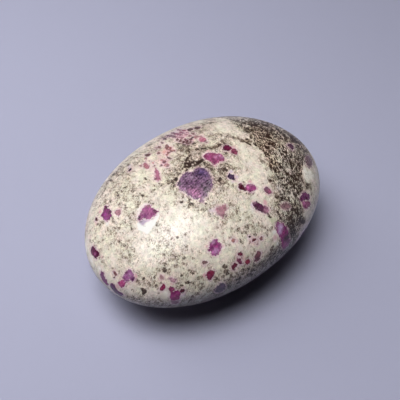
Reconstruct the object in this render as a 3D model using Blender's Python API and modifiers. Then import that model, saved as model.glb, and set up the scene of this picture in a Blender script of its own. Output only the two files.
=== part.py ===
"""Polished palm stone of ruby in albite: one solid, lying on a small flat spot.

Frame: +X along the stone's length, +Z up. The origin is on the surface that
the stone rests on, under the middle of its outline.
"""

import math

import bmesh
import bpy
from mathutils import Matrix, Vector

MM = 0.001

# Driving dimensions, in metres.
HALF_LENGTH = 36.0 * MM
HALF_WIDTH = 26.25 * MM
HALF_THICKNESS = 15.75 * MM
FLAT_DEPTH = 0.45 * MM  # how much the resting spot takes off the underside

# Plan outline: 2 is a true ellipse, more is fuller between the axes.
PLAN_FULLNESS = 2.06
# Hand-ground stones are never quite even: a faint three-sided swell of the rim.
SWELL = -0.011
SWELL_TURN = math.radians(23.0)

CAGE_CUTS = 5  # a cage of 6 by 6 faces on each side of the starting cube
SMOOTH_LEVELS = 2

STONE_COLOUR = (0.62, 0.60, 0.53, 1.0)
STONE_ROUGHNESS = 0.22


def clear_scene():
    for ob in list(bpy.data.objects):
        bpy.data.objects.remove(ob, do_unlink=True)


def new_collection(name):
    col = bpy.data.collections.new(name)
    bpy.context.scene.collection.children.link(col)
    return col


def stone_material():
    mat = bpy.data.materials.new("ruby_in_albite")
    mat.use_nodes = True
    bsdf = mat.node_tree.nodes["Principled BSDF"]
    bsdf.inputs["Base Color"].default_value = STONE_COLOUR
    bsdf.inputs["Roughness"].default_value = STONE_ROUGHNESS
    bsdf.inputs["Metallic"].default_value = 0.0
    return mat


def skin_point(way):
    """The point on the pebble's skin that lies along a direction from its middle."""
    x, y, z = way.normalized()
    plan = (abs(x) ** PLAN_FULLNESS + abs(y) ** PLAN_FULLNESS) ** (1.0 / PLAN_FULLNESS)
    out = 1.0 / math.hypot(plan, z)
    swell = 1.0 + SWELL * math.cos(3.0 * (math.atan2(y, x) - SWELL_TURN)) * (x * x + y * y)
    return Vector(
        (
            HALF_LENGTH * x * out * swell,
            HALF_WIDTH * y * out * swell,
            HALF_THICKNESS * z * out,
        )
    )


def rounded(value):
    """Spreads the cube's grid evenly when it is blown up into a ball."""
    return math.tan(value * math.pi / 4.0)


def smooth_rest_place(vert):
    """Where Subdivision Surface will put a vertex of the cage."""
    n = len(vert.link_edges)
    near = Vector()
    for edge in vert.link_edges:
        near += edge.other_vert(vert).co
    far = Vector()
    for face in vert.link_faces:
        beside = {vert.index}
        beside.update(e.other_vert(vert).index for e in vert.link_edges)
        for corner in face.verts:
            if corner.index not in beside:
                far += corner.co
    return (vert.co * n * n + near * 4.0 + far) / (n * (n + 5))


def pebble_cage():
    """A cube's grid blown up to the pebble, and swollen until the smoothed form meets the skin."""
    bm = bmesh.new()
    bmesh.ops.create_cube(bm, size=2.0)
    bmesh.ops.subdivide_edges(bm, edges=bm.edges[:], cuts=CAGE_CUTS, use_grid_fill=True)
    bm.verts.index_update()
    goals = []
    for v in bm.verts:
        way = Vector((rounded(v.co.x), rounded(v.co.y), rounded(v.co.z)))
        goals.append(skin_point(way))
        v.co = goals[-1]
    for _ in range(6):
        off = [goals[v.index] - smooth_rest_place(v) for v in bm.verts]
        for v in bm.verts:
            v.co += off[v.index]
    # The middle of the outline goes over the origin, and the flat spot's plane to z = 0.
    mid = Vector(
        (
            (max(g.x for g in goals) + min(g.x for g in goals)) / 2.0,
            (max(g.y for g in goals) + min(g.y for g in goals)) / 2.0,
            FLAT_DEPTH - HALF_THICKNESS,
        )
    )
    bmesh.ops.translate(bm, verts=bm.verts[:], vec=-mid)
    return bm


def make_stone(parts, mat):
    bm = pebble_cage()
    mesh = bpy.data.meshes.new("stone")
    bm.to_mesh(mesh)
    bm.free()
    mesh.materials.append(mat)
    mesh.shade_smooth()
    stone = bpy.data.objects.new("stone", mesh)
    parts.objects.link(stone)
    smooth = stone.modifiers.new("smooth_form", "SUBSURF")
    smooth.levels = SMOOTH_LEVELS
    smooth.render_levels = SMOOTH_LEVELS
    return stone


def cut_resting_spot(stone, cutters):
    """Takes a thin slice off the underside, so that the stone lies still."""
    depth = 6.0 * MM
    bm = bmesh.new()
    size = Matrix.Diagonal((HALF_LENGTH, HALF_WIDTH, depth, 1.0))
    bmesh.ops.create_cube(bm, size=1.0, matrix=Matrix.Translation((0.0, 0.0, -depth / 2.0)) @ size)
    mesh = bpy.data.meshes.new("resting_spot_cut")
    bm.to_mesh(mesh)
    bm.free()
    cutter = bpy.data.objects.new("resting_spot_cut", mesh)
    cutters.objects.link(cutter)
    cutter.hide_render = True
    cutter.display_type = "WIRE"
    flat = stone.modifiers.new("resting_spot", "BOOLEAN")
    flat.operation = "DIFFERENCE"
    flat.solver = "EXACT"
    flat.object = cutter


def main():
    clear_scene()
    parts = new_collection("ruby_in_albite")
    cutters = new_collection("cutters")
    stone = make_stone(parts, stone_material())
    cut_resting_spot(stone, cutters)
    bpy.context.view_layer.update()


main()
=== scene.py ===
"""Looks of the ruby in albite palm stone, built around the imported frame.

The stone is one piece. Its skin repeats the CAD form as a dense, even mesh, and
the rock is painted on it in three dimensions: pale granular albite, flecks of
dark mica that thicken into a slanting band, and ruby crystals ground flush,
each with its own outline, colours and pale halo.
Lengths in the tables are millimetres on the stone, or places in the 400 by 400
picture that are dropped onto the skin along the camera's line of sight.
"""

import math

import bpy
import numpy as np
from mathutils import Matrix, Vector


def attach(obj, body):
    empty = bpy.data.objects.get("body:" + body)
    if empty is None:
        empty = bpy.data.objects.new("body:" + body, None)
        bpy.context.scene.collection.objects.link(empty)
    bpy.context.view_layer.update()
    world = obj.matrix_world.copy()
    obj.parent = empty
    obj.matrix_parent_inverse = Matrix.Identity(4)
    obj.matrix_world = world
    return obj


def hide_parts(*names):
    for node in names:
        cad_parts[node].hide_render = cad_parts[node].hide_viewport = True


MM = 0.001
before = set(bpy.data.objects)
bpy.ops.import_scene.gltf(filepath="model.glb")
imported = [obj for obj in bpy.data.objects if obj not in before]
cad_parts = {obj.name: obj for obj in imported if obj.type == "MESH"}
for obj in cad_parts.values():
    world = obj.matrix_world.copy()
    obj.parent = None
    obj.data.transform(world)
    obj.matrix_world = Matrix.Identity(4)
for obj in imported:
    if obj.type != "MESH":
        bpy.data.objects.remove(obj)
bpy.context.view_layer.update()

# ---------------------------------------------------------------- the camera

CAMERA_AT = np.array([-65.2519, -72.8253, 136.8381])
CAMERA_LOOKS = np.array([0.415150, 0.474824, -0.776011])
CAMERA_RIGHT = np.array([0.752828, -0.658217, 0.0])
CAMERA_UP = np.array([0.510783, 0.584203, 0.630720])
FOCAL_PX = 560.0  # focal length in pixels of the 400 px frame
PX = 0.285  # millimetres on the stone for one picture pixel, seen square on

# ------------------------------------------------------------------ the skin

HALF = np.array([36.0, 26.25, 15.75])
FLAT_DEPTH = 0.45
PLAN_FULLNESS = 2.06
SWELL = -0.011
SWELL_TURN = math.radians(23.0)
GRID = 128  # quads along each edge of the cube that is blown up into the stone


def skin_from_way(way):
    """Points on the stone's skin along directions from its middle, as in the CAD."""
    way = way / np.linalg.norm(way, axis=1, keepdims=True)
    x, y, z = way.T
    plan = (np.abs(x) ** PLAN_FULLNESS + np.abs(y) ** PLAN_FULLNESS) ** (1.0 / PLAN_FULLNESS)
    out = 1.0 / np.hypot(plan, z)
    swell = 1.0 + SWELL * np.cos(3.0 * (np.arctan2(y, x) - SWELL_TURN)) * (x * x + y * y)
    return np.stack([HALF[0] * x * out * swell, HALF[1] * y * out * swell, HALF[2] * z * out], 1)


def cube_grid(n):
    """The lattice points on a cube's faces, each once, and the quads between them."""
    a, b = np.meshgrid(np.arange(n + 1), np.arange(n + 1), indexing="ij")
    a, b = a.ravel(), b.ravel()
    lo, hi = np.zeros_like(a), np.full_like(a, n)
    sides = [
        (a, b, hi, False), (a, b, lo, True),
        (b, hi, a, False), (b, lo, a, True),
        (hi, a, b, False), (lo, a, b, True),
    ]
    keys, quads = [], []
    start = 0
    i, j = np.meshgrid(np.arange(n), np.arange(n), indexing="ij")
    corner = (i * (n + 1) + j).ravel()
    for x, y, z, flip in sides:
        keys.append((x * (n + 1) + y) * (n + 1) + z)
        q = np.stack([corner, corner + n + 1, corner + n + 2, corner + 1], 1) + start
        quads.append(q[:, ::-1] if flip else q)
        start += (n + 1) ** 2
    keys = np.concatenate(keys)
    unique, index = np.unique(keys, return_inverse=True)
    x, rest = np.divmod(unique, (n + 1) ** 2)
    y, z = np.divmod(rest, n + 1)
    lattice = np.stack([x, y, z], 1) / n * 2.0 - 1.0
    return lattice, index.ravel()[np.concatenate(quads)]


lattice, quads = cube_grid(GRID)
ways = np.tan(lattice * math.pi / 4.0)
ways /= np.linalg.norm(ways, axis=1, keepdims=True)
ways = ways + 0.32 * np.array([-0.214, -0.337, 0.917])  # finer where the picture looks, coarser below
skin = skin_from_way(ways)
middle = np.array([
    (skin[:, 0].max() + skin[:, 0].min()) / 2.0,
    (skin[:, 1].max() + skin[:, 1].min()) / 2.0,
    FLAT_DEPTH - HALF[2],
])
skin = skin - middle
centre = -middle  # the middle of the form, in the row frame


def skin_ratio(points):
    """Below 1 inside the stone, 1 on its skin."""
    q = points - centre
    way = q / HALF
    return np.linalg.norm(q, axis=1) / np.linalg.norm(skin_from_way(way), axis=1)


def normals_at(points):
    q = points - centre
    nrm = q / HALF**2
    return nrm / np.linalg.norm(nrm, axis=1, keepdims=True)


def drop(spots):
    """Where picture pixels fall on the skin. A pixel just off the stone goes to its rim."""
    spots = np.atleast_2d(np.array(spots, float))
    home = np.array([200.94, 211.32])
    found = np.zeros((len(spots), 3))
    todo = np.arange(len(spots))
    spots = spots.copy()
    near, far = 110.0, 215.0
    steps = np.linspace(near, far, 900)
    for _ in range(60):
        if not len(todo):
            break
        ray = (
            (spots[todo, :1] - 200.0) * CAMERA_RIGHT
            - (spots[todo, 1:] - 200.0) * CAMERA_UP
            + FOCAL_PX * CAMERA_LOOKS
        )
        ray /= np.linalg.norm(ray, axis=1, keepdims=True)
        pts = CAMERA_AT + ray[:, None, :] * steps[None, :, None]
        ins = (skin_ratio(pts.reshape(-1, 3)) < 1.0).reshape(len(todo), -1)
        hit = ins.any(1)
        k = ins.argmax(1)
        lo = steps[np.maximum(k - 1, 0)]
        hi = steps[k]
        for _ in range(24):
            mid = (lo + hi) / 2.0
            inside = skin_ratio(CAMERA_AT + ray * mid[:, None]) < 1.0
            hi = np.where(inside, mid, hi)
            lo = np.where(inside, lo, mid)
        place = CAMERA_AT + ray * hi[:, None]
        found[todo[hit]] = place[hit]
        todo = todo[~hit]
        spots[todo] = home + (spots[todo] - home) * 0.995
    return found


rel = skin - CAMERA_AT
depth = rel @ CAMERA_LOOKS
pic = np.stack([
    200.0 + FOCAL_PX * (rel @ CAMERA_RIGHT) / depth,
    200.0 - FOCAL_PX * (rel @ CAMERA_UP) / depth,
], 1)
facing = -np.sum(normals_at(skin) * rel / np.linalg.norm(rel, axis=1, keepdims=True), axis=1)
seen = np.clip((facing + 0.02) / 0.12, 0.0, 1.0)  # 1 where the camera sees the skin

# ----------------------------------------------------------- small painting kit


def value_noise(points, size, seed):
    """Smooth random values, 0 to 1, with features about `size` mm across."""
    table = np.random.RandomState(seed).rand(32, 32, 32)
    q = points / size + 113.7
    i = np.floor(q).astype(int)
    f = q - i
    f = f * f * f * (f * (f * 6.0 - 15.0) + 10.0)
    total = np.zeros(len(points))
    for dx in (0, 1):
        for dy in (0, 1):
            for dz in (0, 1):
                w = (
                    (f[:, 0] if dx else 1 - f[:, 0])
                    * (f[:, 1] if dy else 1 - f[:, 1])
                    * (f[:, 2] if dz else 1 - f[:, 2])
                )
                total += w * table[(i[:, 0] + dx) & 31, (i[:, 1] + dy) & 31, (i[:, 2] + dz) & 31]
    return total


def cloud(points, size, seed, octaves=3, keep=0.5):
    total, weight, amount = 0.0, 0.0, 1.0
    for k in range(octaves):
        total = total + amount * value_noise(points, size / 2.0**k, seed + 31 * k)
        weight += amount
        amount *= keep
    return total / weight


def ease(low, high, value):
    t = np.clip((value - low) / (high - low), 0.0, 1.0)
    return t * t * (3.0 - 2.0 * t)


def outline_distance(p, v):
    """Signed distance from points to a closed outline in a plane, negative inside."""
    best = np.full(len(p), np.inf)
    inside = np.zeros(len(p), bool)
    j = len(v) - 1
    for i in range(len(v)):
        e = v[j] - v[i]
        w = p - v[i]
        t = np.clip((w @ e) / (e @ e + 1e-12), 0.0, 1.0)
        b = w - t[:, None] * e
        best = np.minimum(best, (b * b).sum(1))
        crosses = (v[i, 1] > p[:, 1]) != (v[j, 1] > p[:, 1])
        drop_y = v[j, 1] - v[i, 1]
        at = v[i, 0] + (p[:, 1] - v[i, 1]) * (v[j, 0] - v[i, 0]) / (drop_y if drop_y else 1e-12)
        inside ^= crosses & (p[:, 0] < at)
        j = i
    return np.sqrt(best) * np.where(inside, -1.0, 1.0)


def linear(rgb):
    c = np.array(rgb, float) / 255.0
    return np.where(c <= 0.04045, c / 12.92, ((c + 0.055) / 1.055) ** 2.4)


def capsule(a, b):
    """Distance of every skin point from the stretch between two points."""
    ab = b - a
    t = np.clip(((skin - a) @ ab) / (ab @ ab + 1e-9), 0.0, 1.0)
    return np.linalg.norm(skin - (a + t[:, None] * ab), axis=1)


# ------------------------------------------------------------- the dark flecks

# The mica band is a slab through the rock: its inner face is this plane.
BAND_NORMAL = np.array([0.7769, -0.2319, -0.5854])
BAND_NORMAL /= np.linalg.norm(BAND_NORMAL)
BAND_OFFSET = -3.886
BAND_ACROSS = np.array([-0.28602, -0.95822, 0.0])
BAND_DOWN = np.array([-0.56093, 0.16743, -0.81075])
# How thick the slab is around its rim: degrees around the plane, millimetres.
BAND_TURN = [-180, -150, -125, -108, -98, -90, -84.5, -81, -77, -72, -64, -57, -54, -30, 0, 60, 120, 150, 180]
BAND_THICK = [12.0, 14.0, 16.0, 17.5, 19.4, 18.8, 17.2, 11.3, 9.7, 9.6, 6.9, 8.0, 7.6, 7.6, 8.6, 12.0, 9.0, 10.0, 12.0]

warp = np.stack([cloud(skin, 5.0, 201 + k) - 0.5 for k in range(3)], 1)
warped = skin + warp * 3.0
s = warped @ BAND_NORMAL - BAND_OFFSET
turn = np.degrees(np.arctan2(skin @ BAND_DOWN, skin @ BAND_ACROSS))
thick = np.interp(turn, BAND_TURN, BAND_THICK)
along_band = np.stack([skin @ BAND_NORMAL * 2.6, skin @ BAND_ACROSS, skin @ BAND_DOWN], 1)

inner = ease(-0.8, 0.9, s)
outer = ease(-0.9, 0.8, thick - s)
band = inner * outer
veins = cloud(along_band, 5.5, 11, 3, 0.55)
band_depth = 0.40 + 0.62 * (veins - 0.5) * 2.0

base_cloud = cloud(along_band, 9.0, 41, 3, 0.6)
small_cloud = cloud(along_band, 2.6, 57, 2, 0.6)
fleck = 0.12 + 0.50 * (base_cloud - 0.5) + 0.34 * (small_cloud - 0.5)
fleck = fleck * (1.0 - band) + band * (0.55 + 0.46 * (veins - 0.5) * 2.0 + 0.18 * (small_cloud - 0.5))

# Beyond the band the rock is pale again.
beyond = ease(-0.2, 1.2, s - thick)
fleck = np.where(beyond > 0, fleck * (1 - beyond) + beyond * (0.06 + 0.3 * (base_cloud - 0.45)), fleck)

# Places in the picture, radius in pixels, and how much mica they add or take.
# Some entries are partly painted light and shade: the takings along the left rim near (88 to 105, 245 to 275) lighten
# that edge as painted light, and the additions along the low rim near (135 to 225, 288 to 300) darken it, partly as
# mica and partly as painted shade.
FLECKS = [
    # clean albite
    (249, 152, 9, -0.12), (243, 158, 8, -0.12), (256, 160, 7, -0.1), (250, 168, 9, -0.12), (258, 176, 7, -0.1),
    (224, 126, 9, -0.10), (238, 133, 6, -0.14), (140, 173, 9, -0.10), (158, 160, 4, -0.06), (162, 198, 9, -0.08),
    (176, 222, 9, -0.08), (196, 224, 9, -0.08), (150, 236, 8, -0.06), (146, 252, 9, -0.10), (112, 206, 5, -0.05),
    (136, 195, 5, -0.05), (94, 236, 6, -0.08), (226, 232, 7, -0.07), (228, 246, 6, -0.07), (196, 268, 5, -0.05),
    (212, 262, 5, -0.06), (140, 282, 5, -0.04), (116, 262, 5, -0.06), (258, 214, 6, -0.05), (266, 232, 5, -0.06),
    (213, 145, 3.5, -0.10), (118, 222, 4, -0.03), (176, 204, 6, -0.06), (120, 186, 4, -0.04), (270, 196, 4, -0.08),
    # grey clouds
    (115, 172, 9, 0.16), (107, 182, 7, 0.14), (125, 163, 6, 0.12), (98, 196, 6, 0.10), (133, 202, 7, 0.10),
    (122, 196, 6, 0.07), (104, 230, 6, 0.08), (130, 250, 8, 0.14), (124, 262, 8, 0.10), (118, 242, 7, 0.08),
    (172, 256, 8, 0.15), (186, 258, 8, 0.15), (164, 265, 7, 0.14), (180, 266, 7, 0.08), (160, 250, 6, 0.08),
    (148, 268, 7, 0.10), (152, 280, 9, 0.12), (186, 278, 8, 0.12), (198, 288, 9, 0.14), (150, 291, 8, 0.16),
    (138, 291, 6, 0.14), (206, 268, 5, 0.06), (222, 278, 8, 0.13), (236, 276, 7, 0.12), (222, 262, 6, 0.07),
    (250, 268, 6, 0.13), (262, 256, 7, 0.10), (246, 228, 7, 0.07), (236, 222, 7, 0.10), (224, 222, 6, 0.08),
    (201, 207, 7, 0.17), (192, 204, 5, 0.14), (206, 214, 5, 0.10), (186, 206, 5, 0.04), (234, 212, 6, 0.08),
    (238, 198, 6, 0.07), (226, 192, 6, 0.06), (218, 180, 6, 0.16), (222, 169, 6, 0.16), (170, 190, 6, 0.08),
    (172, 180, 6, 0.14), (174, 170, 6, 0.16), (184, 160, 7, 0.24), (195, 162, 6, 0.26), (188, 151, 6, 0.22),
    (198, 150, 7, 0.16), (208, 148, 5, 0.14), (176, 156, 5, 0.14), (152, 149, 6, 0.12), (160, 140, 6, 0.14),
    (172, 137, 6, 0.14), (186, 134, 6, 0.12), (200, 130, 6, 0.12), (196, 143, 5, 0.10), (188, 143, 4, 0.14),
    (132, 190, 6, 0.08), (150, 195, 6, 0.07), (146, 178, 4, 0.05), (166, 176, 5, 0.06), (270, 222, 5, 0.05),
    (246, 196, 4, 0.05), (258, 222, 5, 0.08), (272, 212, 5, 0.10), (268, 250, 6, 0.10), (252, 250, 5, 0.06),
    (196, 136, 4, 0.10), (213, 136, 4, 0.06), (206, 124, 5, 0.08),
    # finer corrections
    (195, 130, 4, 0.06), (166, 137, 4, 0.04), (182, 148, 5, 0.06), (160, 150, 4, 0.05), (143, 158, 4, 0.06), (120, 173, 5, 0.05), (127, 186, 5, 0.05),
    (118, 192, 4, 0.04), (113, 220, 3, 0.04), (129, 222, 4, 0.05), (188, 166, 4, 0.08), (204, 164, 4, 0.08), (225, 167, 5, 0.08), (172, 183, 5, 0.08),
    (222, 180, 4, 0.04), (205, 143, 4, 0.05), (225, 143, 4, 0.05), (216, 137, 4, 0.04), (245, 132, 4, 0.04), (255, 125, 5, 0.05), (252, 142, 4, 0.04),
    (292, 138, 5, 0.09), (299, 146, 5, 0.09), (305, 155, 4, 0.1), (270, 148, 5, 0.06), (263, 160, 4, 0.06), (278, 167, 5, 0.05), (285, 160, 5, 0.04),
    (272, 178, 5, 0.07), (293, 177, 5, 0.06), (278, 200, 5, 0.1), (308, 187, 4, 0.1), (250, 192, 4, 0.05), (243, 186, 3, 0.04), (302, 222, 5, 0.1),
    (292, 233, 6, 0.14), (258, 260, 4, 0.06), (227, 268, 4, 0.04), (160, 258, 4, 0.03), (158, 287, 4, 0.04), (177, 284, 4, 0.04), (307, 175, 5, -0.35),
    (290, 170, 3, -0.15), (231, 118, 4, -0.08), (139, 177, 5, -0.06), (147, 196, 4, -0.06), (109, 190, 5, -0.08), (99, 199, 4, -0.06), (133, 204, 4, -0.08),
    (182, 212, 6, -0.05), (201, 226, 6, -0.06), (195, 245, 5, -0.05), (174, 250, 5, -0.09), (182, 262, 4, -0.09), (180, 270, 4, -0.07), (193, 278, 4, -0.07),
    (150, 267, 4, -0.07), (141, 266, 4, -0.04), (145, 275, 3, -0.05), (150, 279, 3, -0.05), (152, 292, 4, -0.07), (128, 292, 4, -0.06), (137, 290, 4, -0.09),
    (165, 293, 4, -0.07), (220, 265, 4, -0.07), (225, 250, 5, -0.05), (245, 250, 5, -0.06), (265, 247, 4, -0.08), (276, 240, 3, -0.05), (88, 245, 3, -0.06),
    (91, 253, 3, -0.06), (102, 232, 5, -0.08), (125, 270, 4, -0.07), (104, 274, 3, -0.06), (265, 200, 4, -0.1), (268, 222, 4, -0.08), (285, 214, 4, -0.1),
    (293, 200, 4, -0.1), (248, 155, 5, -0.06), (262, 172, 5, -0.08), (279, 158, 2, -0.18), (288.5, 152.5, 1.6, -0.22), (281, 142, 3, -0.14), (287, 168, 2, -0.15),
    (299.5, 184.3, 1.5, -0.3), (283, 182, 2, -0.18), (289, 190.5, 1.2, -0.2), (309, 178, 4, -0.3), (304, 167, 2, -0.25),
    (175, 134, 8, 0.09), (182, 146, 8, 0.12), (191, 129, 5, 0.1), (154, 150, 8, 0.07), (166, 146, 6, 0.05), (141, 164, 5, 0.08), (178, 174, 5, 0.09),
    (190, 160, 5, 0.05), (203, 148, 5, 0.08), (212, 148, 4, 0.08), (202, 163, 5, 0.12), (224, 166, 8, 0.13), (212, 172, 5, 0.06), (222, 190, 6, 0.08),
    (240, 188, 5, 0.07), (208, 198, 4, 0.1), (222, 176, 5, 0.06), (214, 182, 5, 0.06), (226, 135, 5, 0.09), (204, 143, 5, 0.07), (228, 143, 4, 0.08),
    (243, 131, 4, 0.1), (256, 125, 6, 0.07), (265, 122, 4, 0.07), (220, 141, 5, 0.06), (251, 141, 4, 0.09), (292, 140, 7, 0.12), (299, 139, 4, 0.1),
    (302, 158, 5, 0.13), (310, 162, 4, 0.12), (278, 168, 4, 0.09), (270, 180, 5, 0.09), (302, 189, 5, 0.09), (300, 206, 6, 0.12), (304, 222, 5, 0.12),
    (290, 232, 4, 0.1), (137, 219, 4, 0.06), (148, 240, 6, 0.05), (119, 191, 5, 0.05), (94, 249, 3, 0.1), (106, 205, 3, 0.04), (112, 219, 3, 0.04),
    (210, 208, 5, 0.06), (217, 213, 6, 0.07), (254, 190, 4, 0.05), (262, 250, 3, 0.04), (257, 258, 4, 0.1), (272, 255, 4, 0.14), (244, 278, 4, 0.1),
    (230, 288, 5, 0.1), (160, 185, 4, 0.03), (185, 196, 3, 0.06), (236, 178, 4, 0.05), (248, 188, 4, 0.05), (266, 148, 4, 0.06), (284, 156, 4, 0.04),
    (120, 170, 4, 0.03), (106, 185, 4, 0.05), (196, 136, 4, 0.05), (118, 280, 3, 0.05), (230, 268, 3, 0.05), (307, 175, 5, -0.3), (140, 176, 6, -0.06),
    (137, 203, 4, -0.1), (147, 196, 4, -0.07), (193, 206, 5, -0.14), (199, 212, 4, -0.12), (184, 211, 5, -0.07), (183, 262, 7, -0.1), (196, 266, 6, -0.07),
    (169, 258, 4, -0.07), (176, 268, 5, -0.07), (192, 278, 5, -0.08), (150, 266, 5, -0.08), (140, 268, 5, -0.08), (142, 277, 4, -0.08), (151, 279, 3, -0.07),
    (131, 290, 6, -0.09), (138, 286, 4, -0.06), (164, 294, 5, -0.09), (152, 292, 3, -0.06), (195, 245, 5, -0.07), (205, 240, 5, -0.04), (201, 228, 6, -0.05),
    (223, 248, 5, -0.08), (226, 258, 4, -0.07), (218, 268, 5, -0.09), (221, 276, 3, -0.07), (247, 224, 4, -0.11), (234, 219, 5, -0.08), (241, 243, 4, -0.1),
    (248, 248, 4, -0.09), (265, 200, 6, -0.1), (267, 222, 7, -0.09), (266, 242, 5, -0.12), (265, 253, 2.5, -0.15), (275, 238, 4, -0.12), (285, 214, 5, -0.12),
    (293, 200, 4, -0.12), (88, 250, 4, -0.1), (91, 258, 4, -0.08), (103, 231, 5, -0.08), (107, 190, 4, -0.07), (97, 200, 4, -0.05), (131, 250, 4, -0.08),
    (118, 238, 4, -0.04), (104, 274, 4, -0.07), (98, 264, 4, -0.06), (232, 118, 5, -0.12), (207, 133, 4, -0.05), (198, 222, 4, -0.05), (215, 225, 4, -0.08),
    (196, 254, 5, -0.05), (176, 250, 5, -0.06), (258, 170, 6, -0.06), (263, 178, 4, -0.06), (248, 157, 6, -0.05), (160, 208, 4, -0.03), (181, 226, 4, -0.02),
    (160, 240, 3, -0.04), (292, 165, 3, -0.08), (264, 141, 3, -0.06), (258, 131, 3, -0.05), (168, 188, 3, -0.04),
    (175, 136, 8, 0.14), (183, 144, 8, 0.14), (180, 150, 5, 0.08), (191, 129, 5, 0.16), (199, 128, 3, 0.1), (165, 137, 4, 0.1), (155, 150, 6, 0.05),
    (141, 162, 5, 0.1), (162, 146, 5, 0.04), (188, 166, 4, 0.08), (190, 160, 4, 0.05), (203, 163, 6, 0.13), (213, 167, 6, 0.08), (226, 168, 7, 0.15),
    (227, 156, 4, 0.1), (222, 178, 6, 0.06), (212, 148, 4, 0.1), (226, 143, 4, 0.1), (228, 136, 4, 0.1), (243, 131, 4, 0.1), (236, 138, 4, 0.08),
    (255, 125, 6, 0.08), (264, 122, 4, 0.08), (178, 174, 5, 0.1), (171, 174, 4, 0.06), (180, 188, 4, 0.07), (187, 198, 3, 0.07), (208, 198, 4, 0.08),
    (215, 207, 6, 0.08), (223, 192, 5, 0.06), (240, 188, 5, 0.08), (254, 191, 4, 0.06), (292, 139, 7, 0.12), (299, 140, 4, 0.08), (286, 142, 4, 0.06),
    (302, 157, 4, 0.13), (312, 163, 3, 0.1), (278, 166, 4, 0.09), (268, 168, 3, 0.04), (274, 179, 5, 0.07), (293, 176, 3, 0.05), (303, 188, 5, 0.09),
    (274, 192, 4, 0.05), (282, 203, 4, 0.09), (302, 208, 6, 0.11), (300, 225, 4, 0.09), (278, 222, 3, 0.06), (290, 233, 5, 0.12), (284, 241, 4, 0.06),
    (137, 219, 4, 0.07), (149, 240, 6, 0.06), (128, 221, 4, 0.05), (112, 219, 3, 0.08), (120, 191, 4, 0.05), (108, 204, 3, 0.05), (95, 248, 3, 0.1),
    (170, 255, 3, 0.05), (256, 259, 4, 0.12), (273, 255, 4, 0.12), (244, 278, 5, 0.07), (270, 148, 4, 0.07), (125, 177, 4, 0.04), (140, 177, 6, -0.1),
    (110, 168, 3, -0.08), (167, 188, 4, -0.1), (143, 203, 4, -0.06), (195, 206, 4, -0.12), (199, 212, 4, -0.12), (182, 211, 4, -0.08), (265, 200, 6, -0.14),
    (267, 222, 7, -0.12), (266, 243, 5, -0.16), (276, 238, 4, -0.16), (265, 252, 3, -0.18), (285, 214, 5, -0.16), (293, 200, 4, -0.16), (248, 247, 6, -0.14),
    (240, 246, 4, -0.08), (223, 247, 5, -0.14), (222, 260, 6, -0.12), (218, 268, 5, -0.12), (222, 276, 4, -0.08), (247, 224, 5, -0.12), (234, 219, 5, -0.12),
    (241, 232, 4, -0.06), (205, 232, 6, -0.06), (195, 243, 5, -0.1), (205, 256, 6, -0.08), (180, 264, 6, -0.13), (172, 260, 4, -0.09), (186, 275, 5, -0.12),
    (195, 278, 4, -0.08), (150, 265, 4, -0.12), (142, 265, 5, -0.12), (142, 276, 4, -0.12), (150, 279, 3, -0.08), (130, 289, 6, -0.14), (138, 286, 5, -0.12),
    (165, 293, 5, -0.14), (153, 292, 3, -0.08), (105, 230, 5, -0.08), (88, 250, 4, -0.16), (92, 258, 4, -0.12), (98, 264, 4, -0.12), (105, 273, 5, -0.12),
    (107, 190, 4, -0.06), (232, 118, 6, -0.16), (307, 175, 5, -0.3), (258, 170, 5, -0.1), (263, 178, 4, -0.1), (294, 165, 3, -0.14), (264, 141, 3, -0.12),
    (262, 150, 3, -0.08), (270, 158, 3, -0.08), (200, 222, 5, -0.06), (212, 224, 4, -0.08),
    (191, 129, 5, 0.1), (160, 146, 8, 0.06), (210, 170, 5, 0.06), (229, 162, 6, 0.08), (230, 187, 7, 0.05), (215, 211, 7, 0.06), (253, 206, 3, 0.12), (244, 187, 3, 0.04),
    (253, 192, 3, 0.05), (243, 131, 4, 0.1), (256, 125, 4, 0.08), (228, 137, 4, 0.05), (270, 148, 4, 0.06), (278, 168, 4, 0.05), (303, 188, 4, 0.08), (300, 205, 6, 0.06),
    (287, 238, 5, 0.1), (273, 257, 4, 0.08), (112, 220, 4, 0.04), (138, 221, 3, 0.03), (151, 240, 5, 0.03), (128, 242, 4, 0.03), (95, 248, 3, 0.06), (113, 267, 4, 0.04),
    (172, 255, 3, 0.03), (160, 256, 3, 0.03), (237, 255, 3, 0.05), (257, 259, 3, 0.05), (230, 265, 4, 0.04), (198, 285, 4, 0.04), (218, 292, 4, 0.06), (139, 300, 4, 0.04),
    (165, 137, 4, 0.06), (163, 172, 4, 0.03), (182, 192, 4, 0.04), (153, 178, 3, 0.03), (296, 138, 5, 0.12), (289, 133, 4, 0.08), (304, 152, 4, 0.1), (308, 165, 2.5, 0.12),
    (307, 175, 5, -0.2), (232, 118, 5, -0.14), (171, 171, 3, -0.06), (262, 150, 3, -0.08), (267, 155, 3, -0.08), (272, 160, 3, -0.08), (264, 141, 3, -0.1), (274, 172, 3, -0.08),
    (284, 188, 3, -0.1), (292, 200, 4, -0.08), (285, 214, 4, -0.1), (276, 238, 4, -0.16), (267, 250, 4, -0.12), (232, 277, 4, -0.06), (245, 270, 4, -0.05), (222, 247, 4, -0.05),
    (141, 290, 4, -0.06), (127, 291, 4, -0.06), (164, 293, 4, -0.06), (88, 250, 4, -0.1), (98, 265, 4, -0.06), (107, 274, 4, -0.06), (138, 180, 4, -0.04), (120, 221, 3, -0.04),
    (137, 170, 4, -0.05), (115, 168, 4, -0.05), (200, 226, 4, -0.04), (200, 257, 4, -0.04), (195, 245, 4, -0.04),
    (191, 129, 11, 0.22), (160, 150, 5, 0.07), (214, 166, 5, 0.15), (226, 153, 5, 0.1), (182, 148, 5, 0.08), (188, 142, 5, 0.08), (175, 145, 5, 0.1), (148, 144, 6, 0.08),
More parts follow.
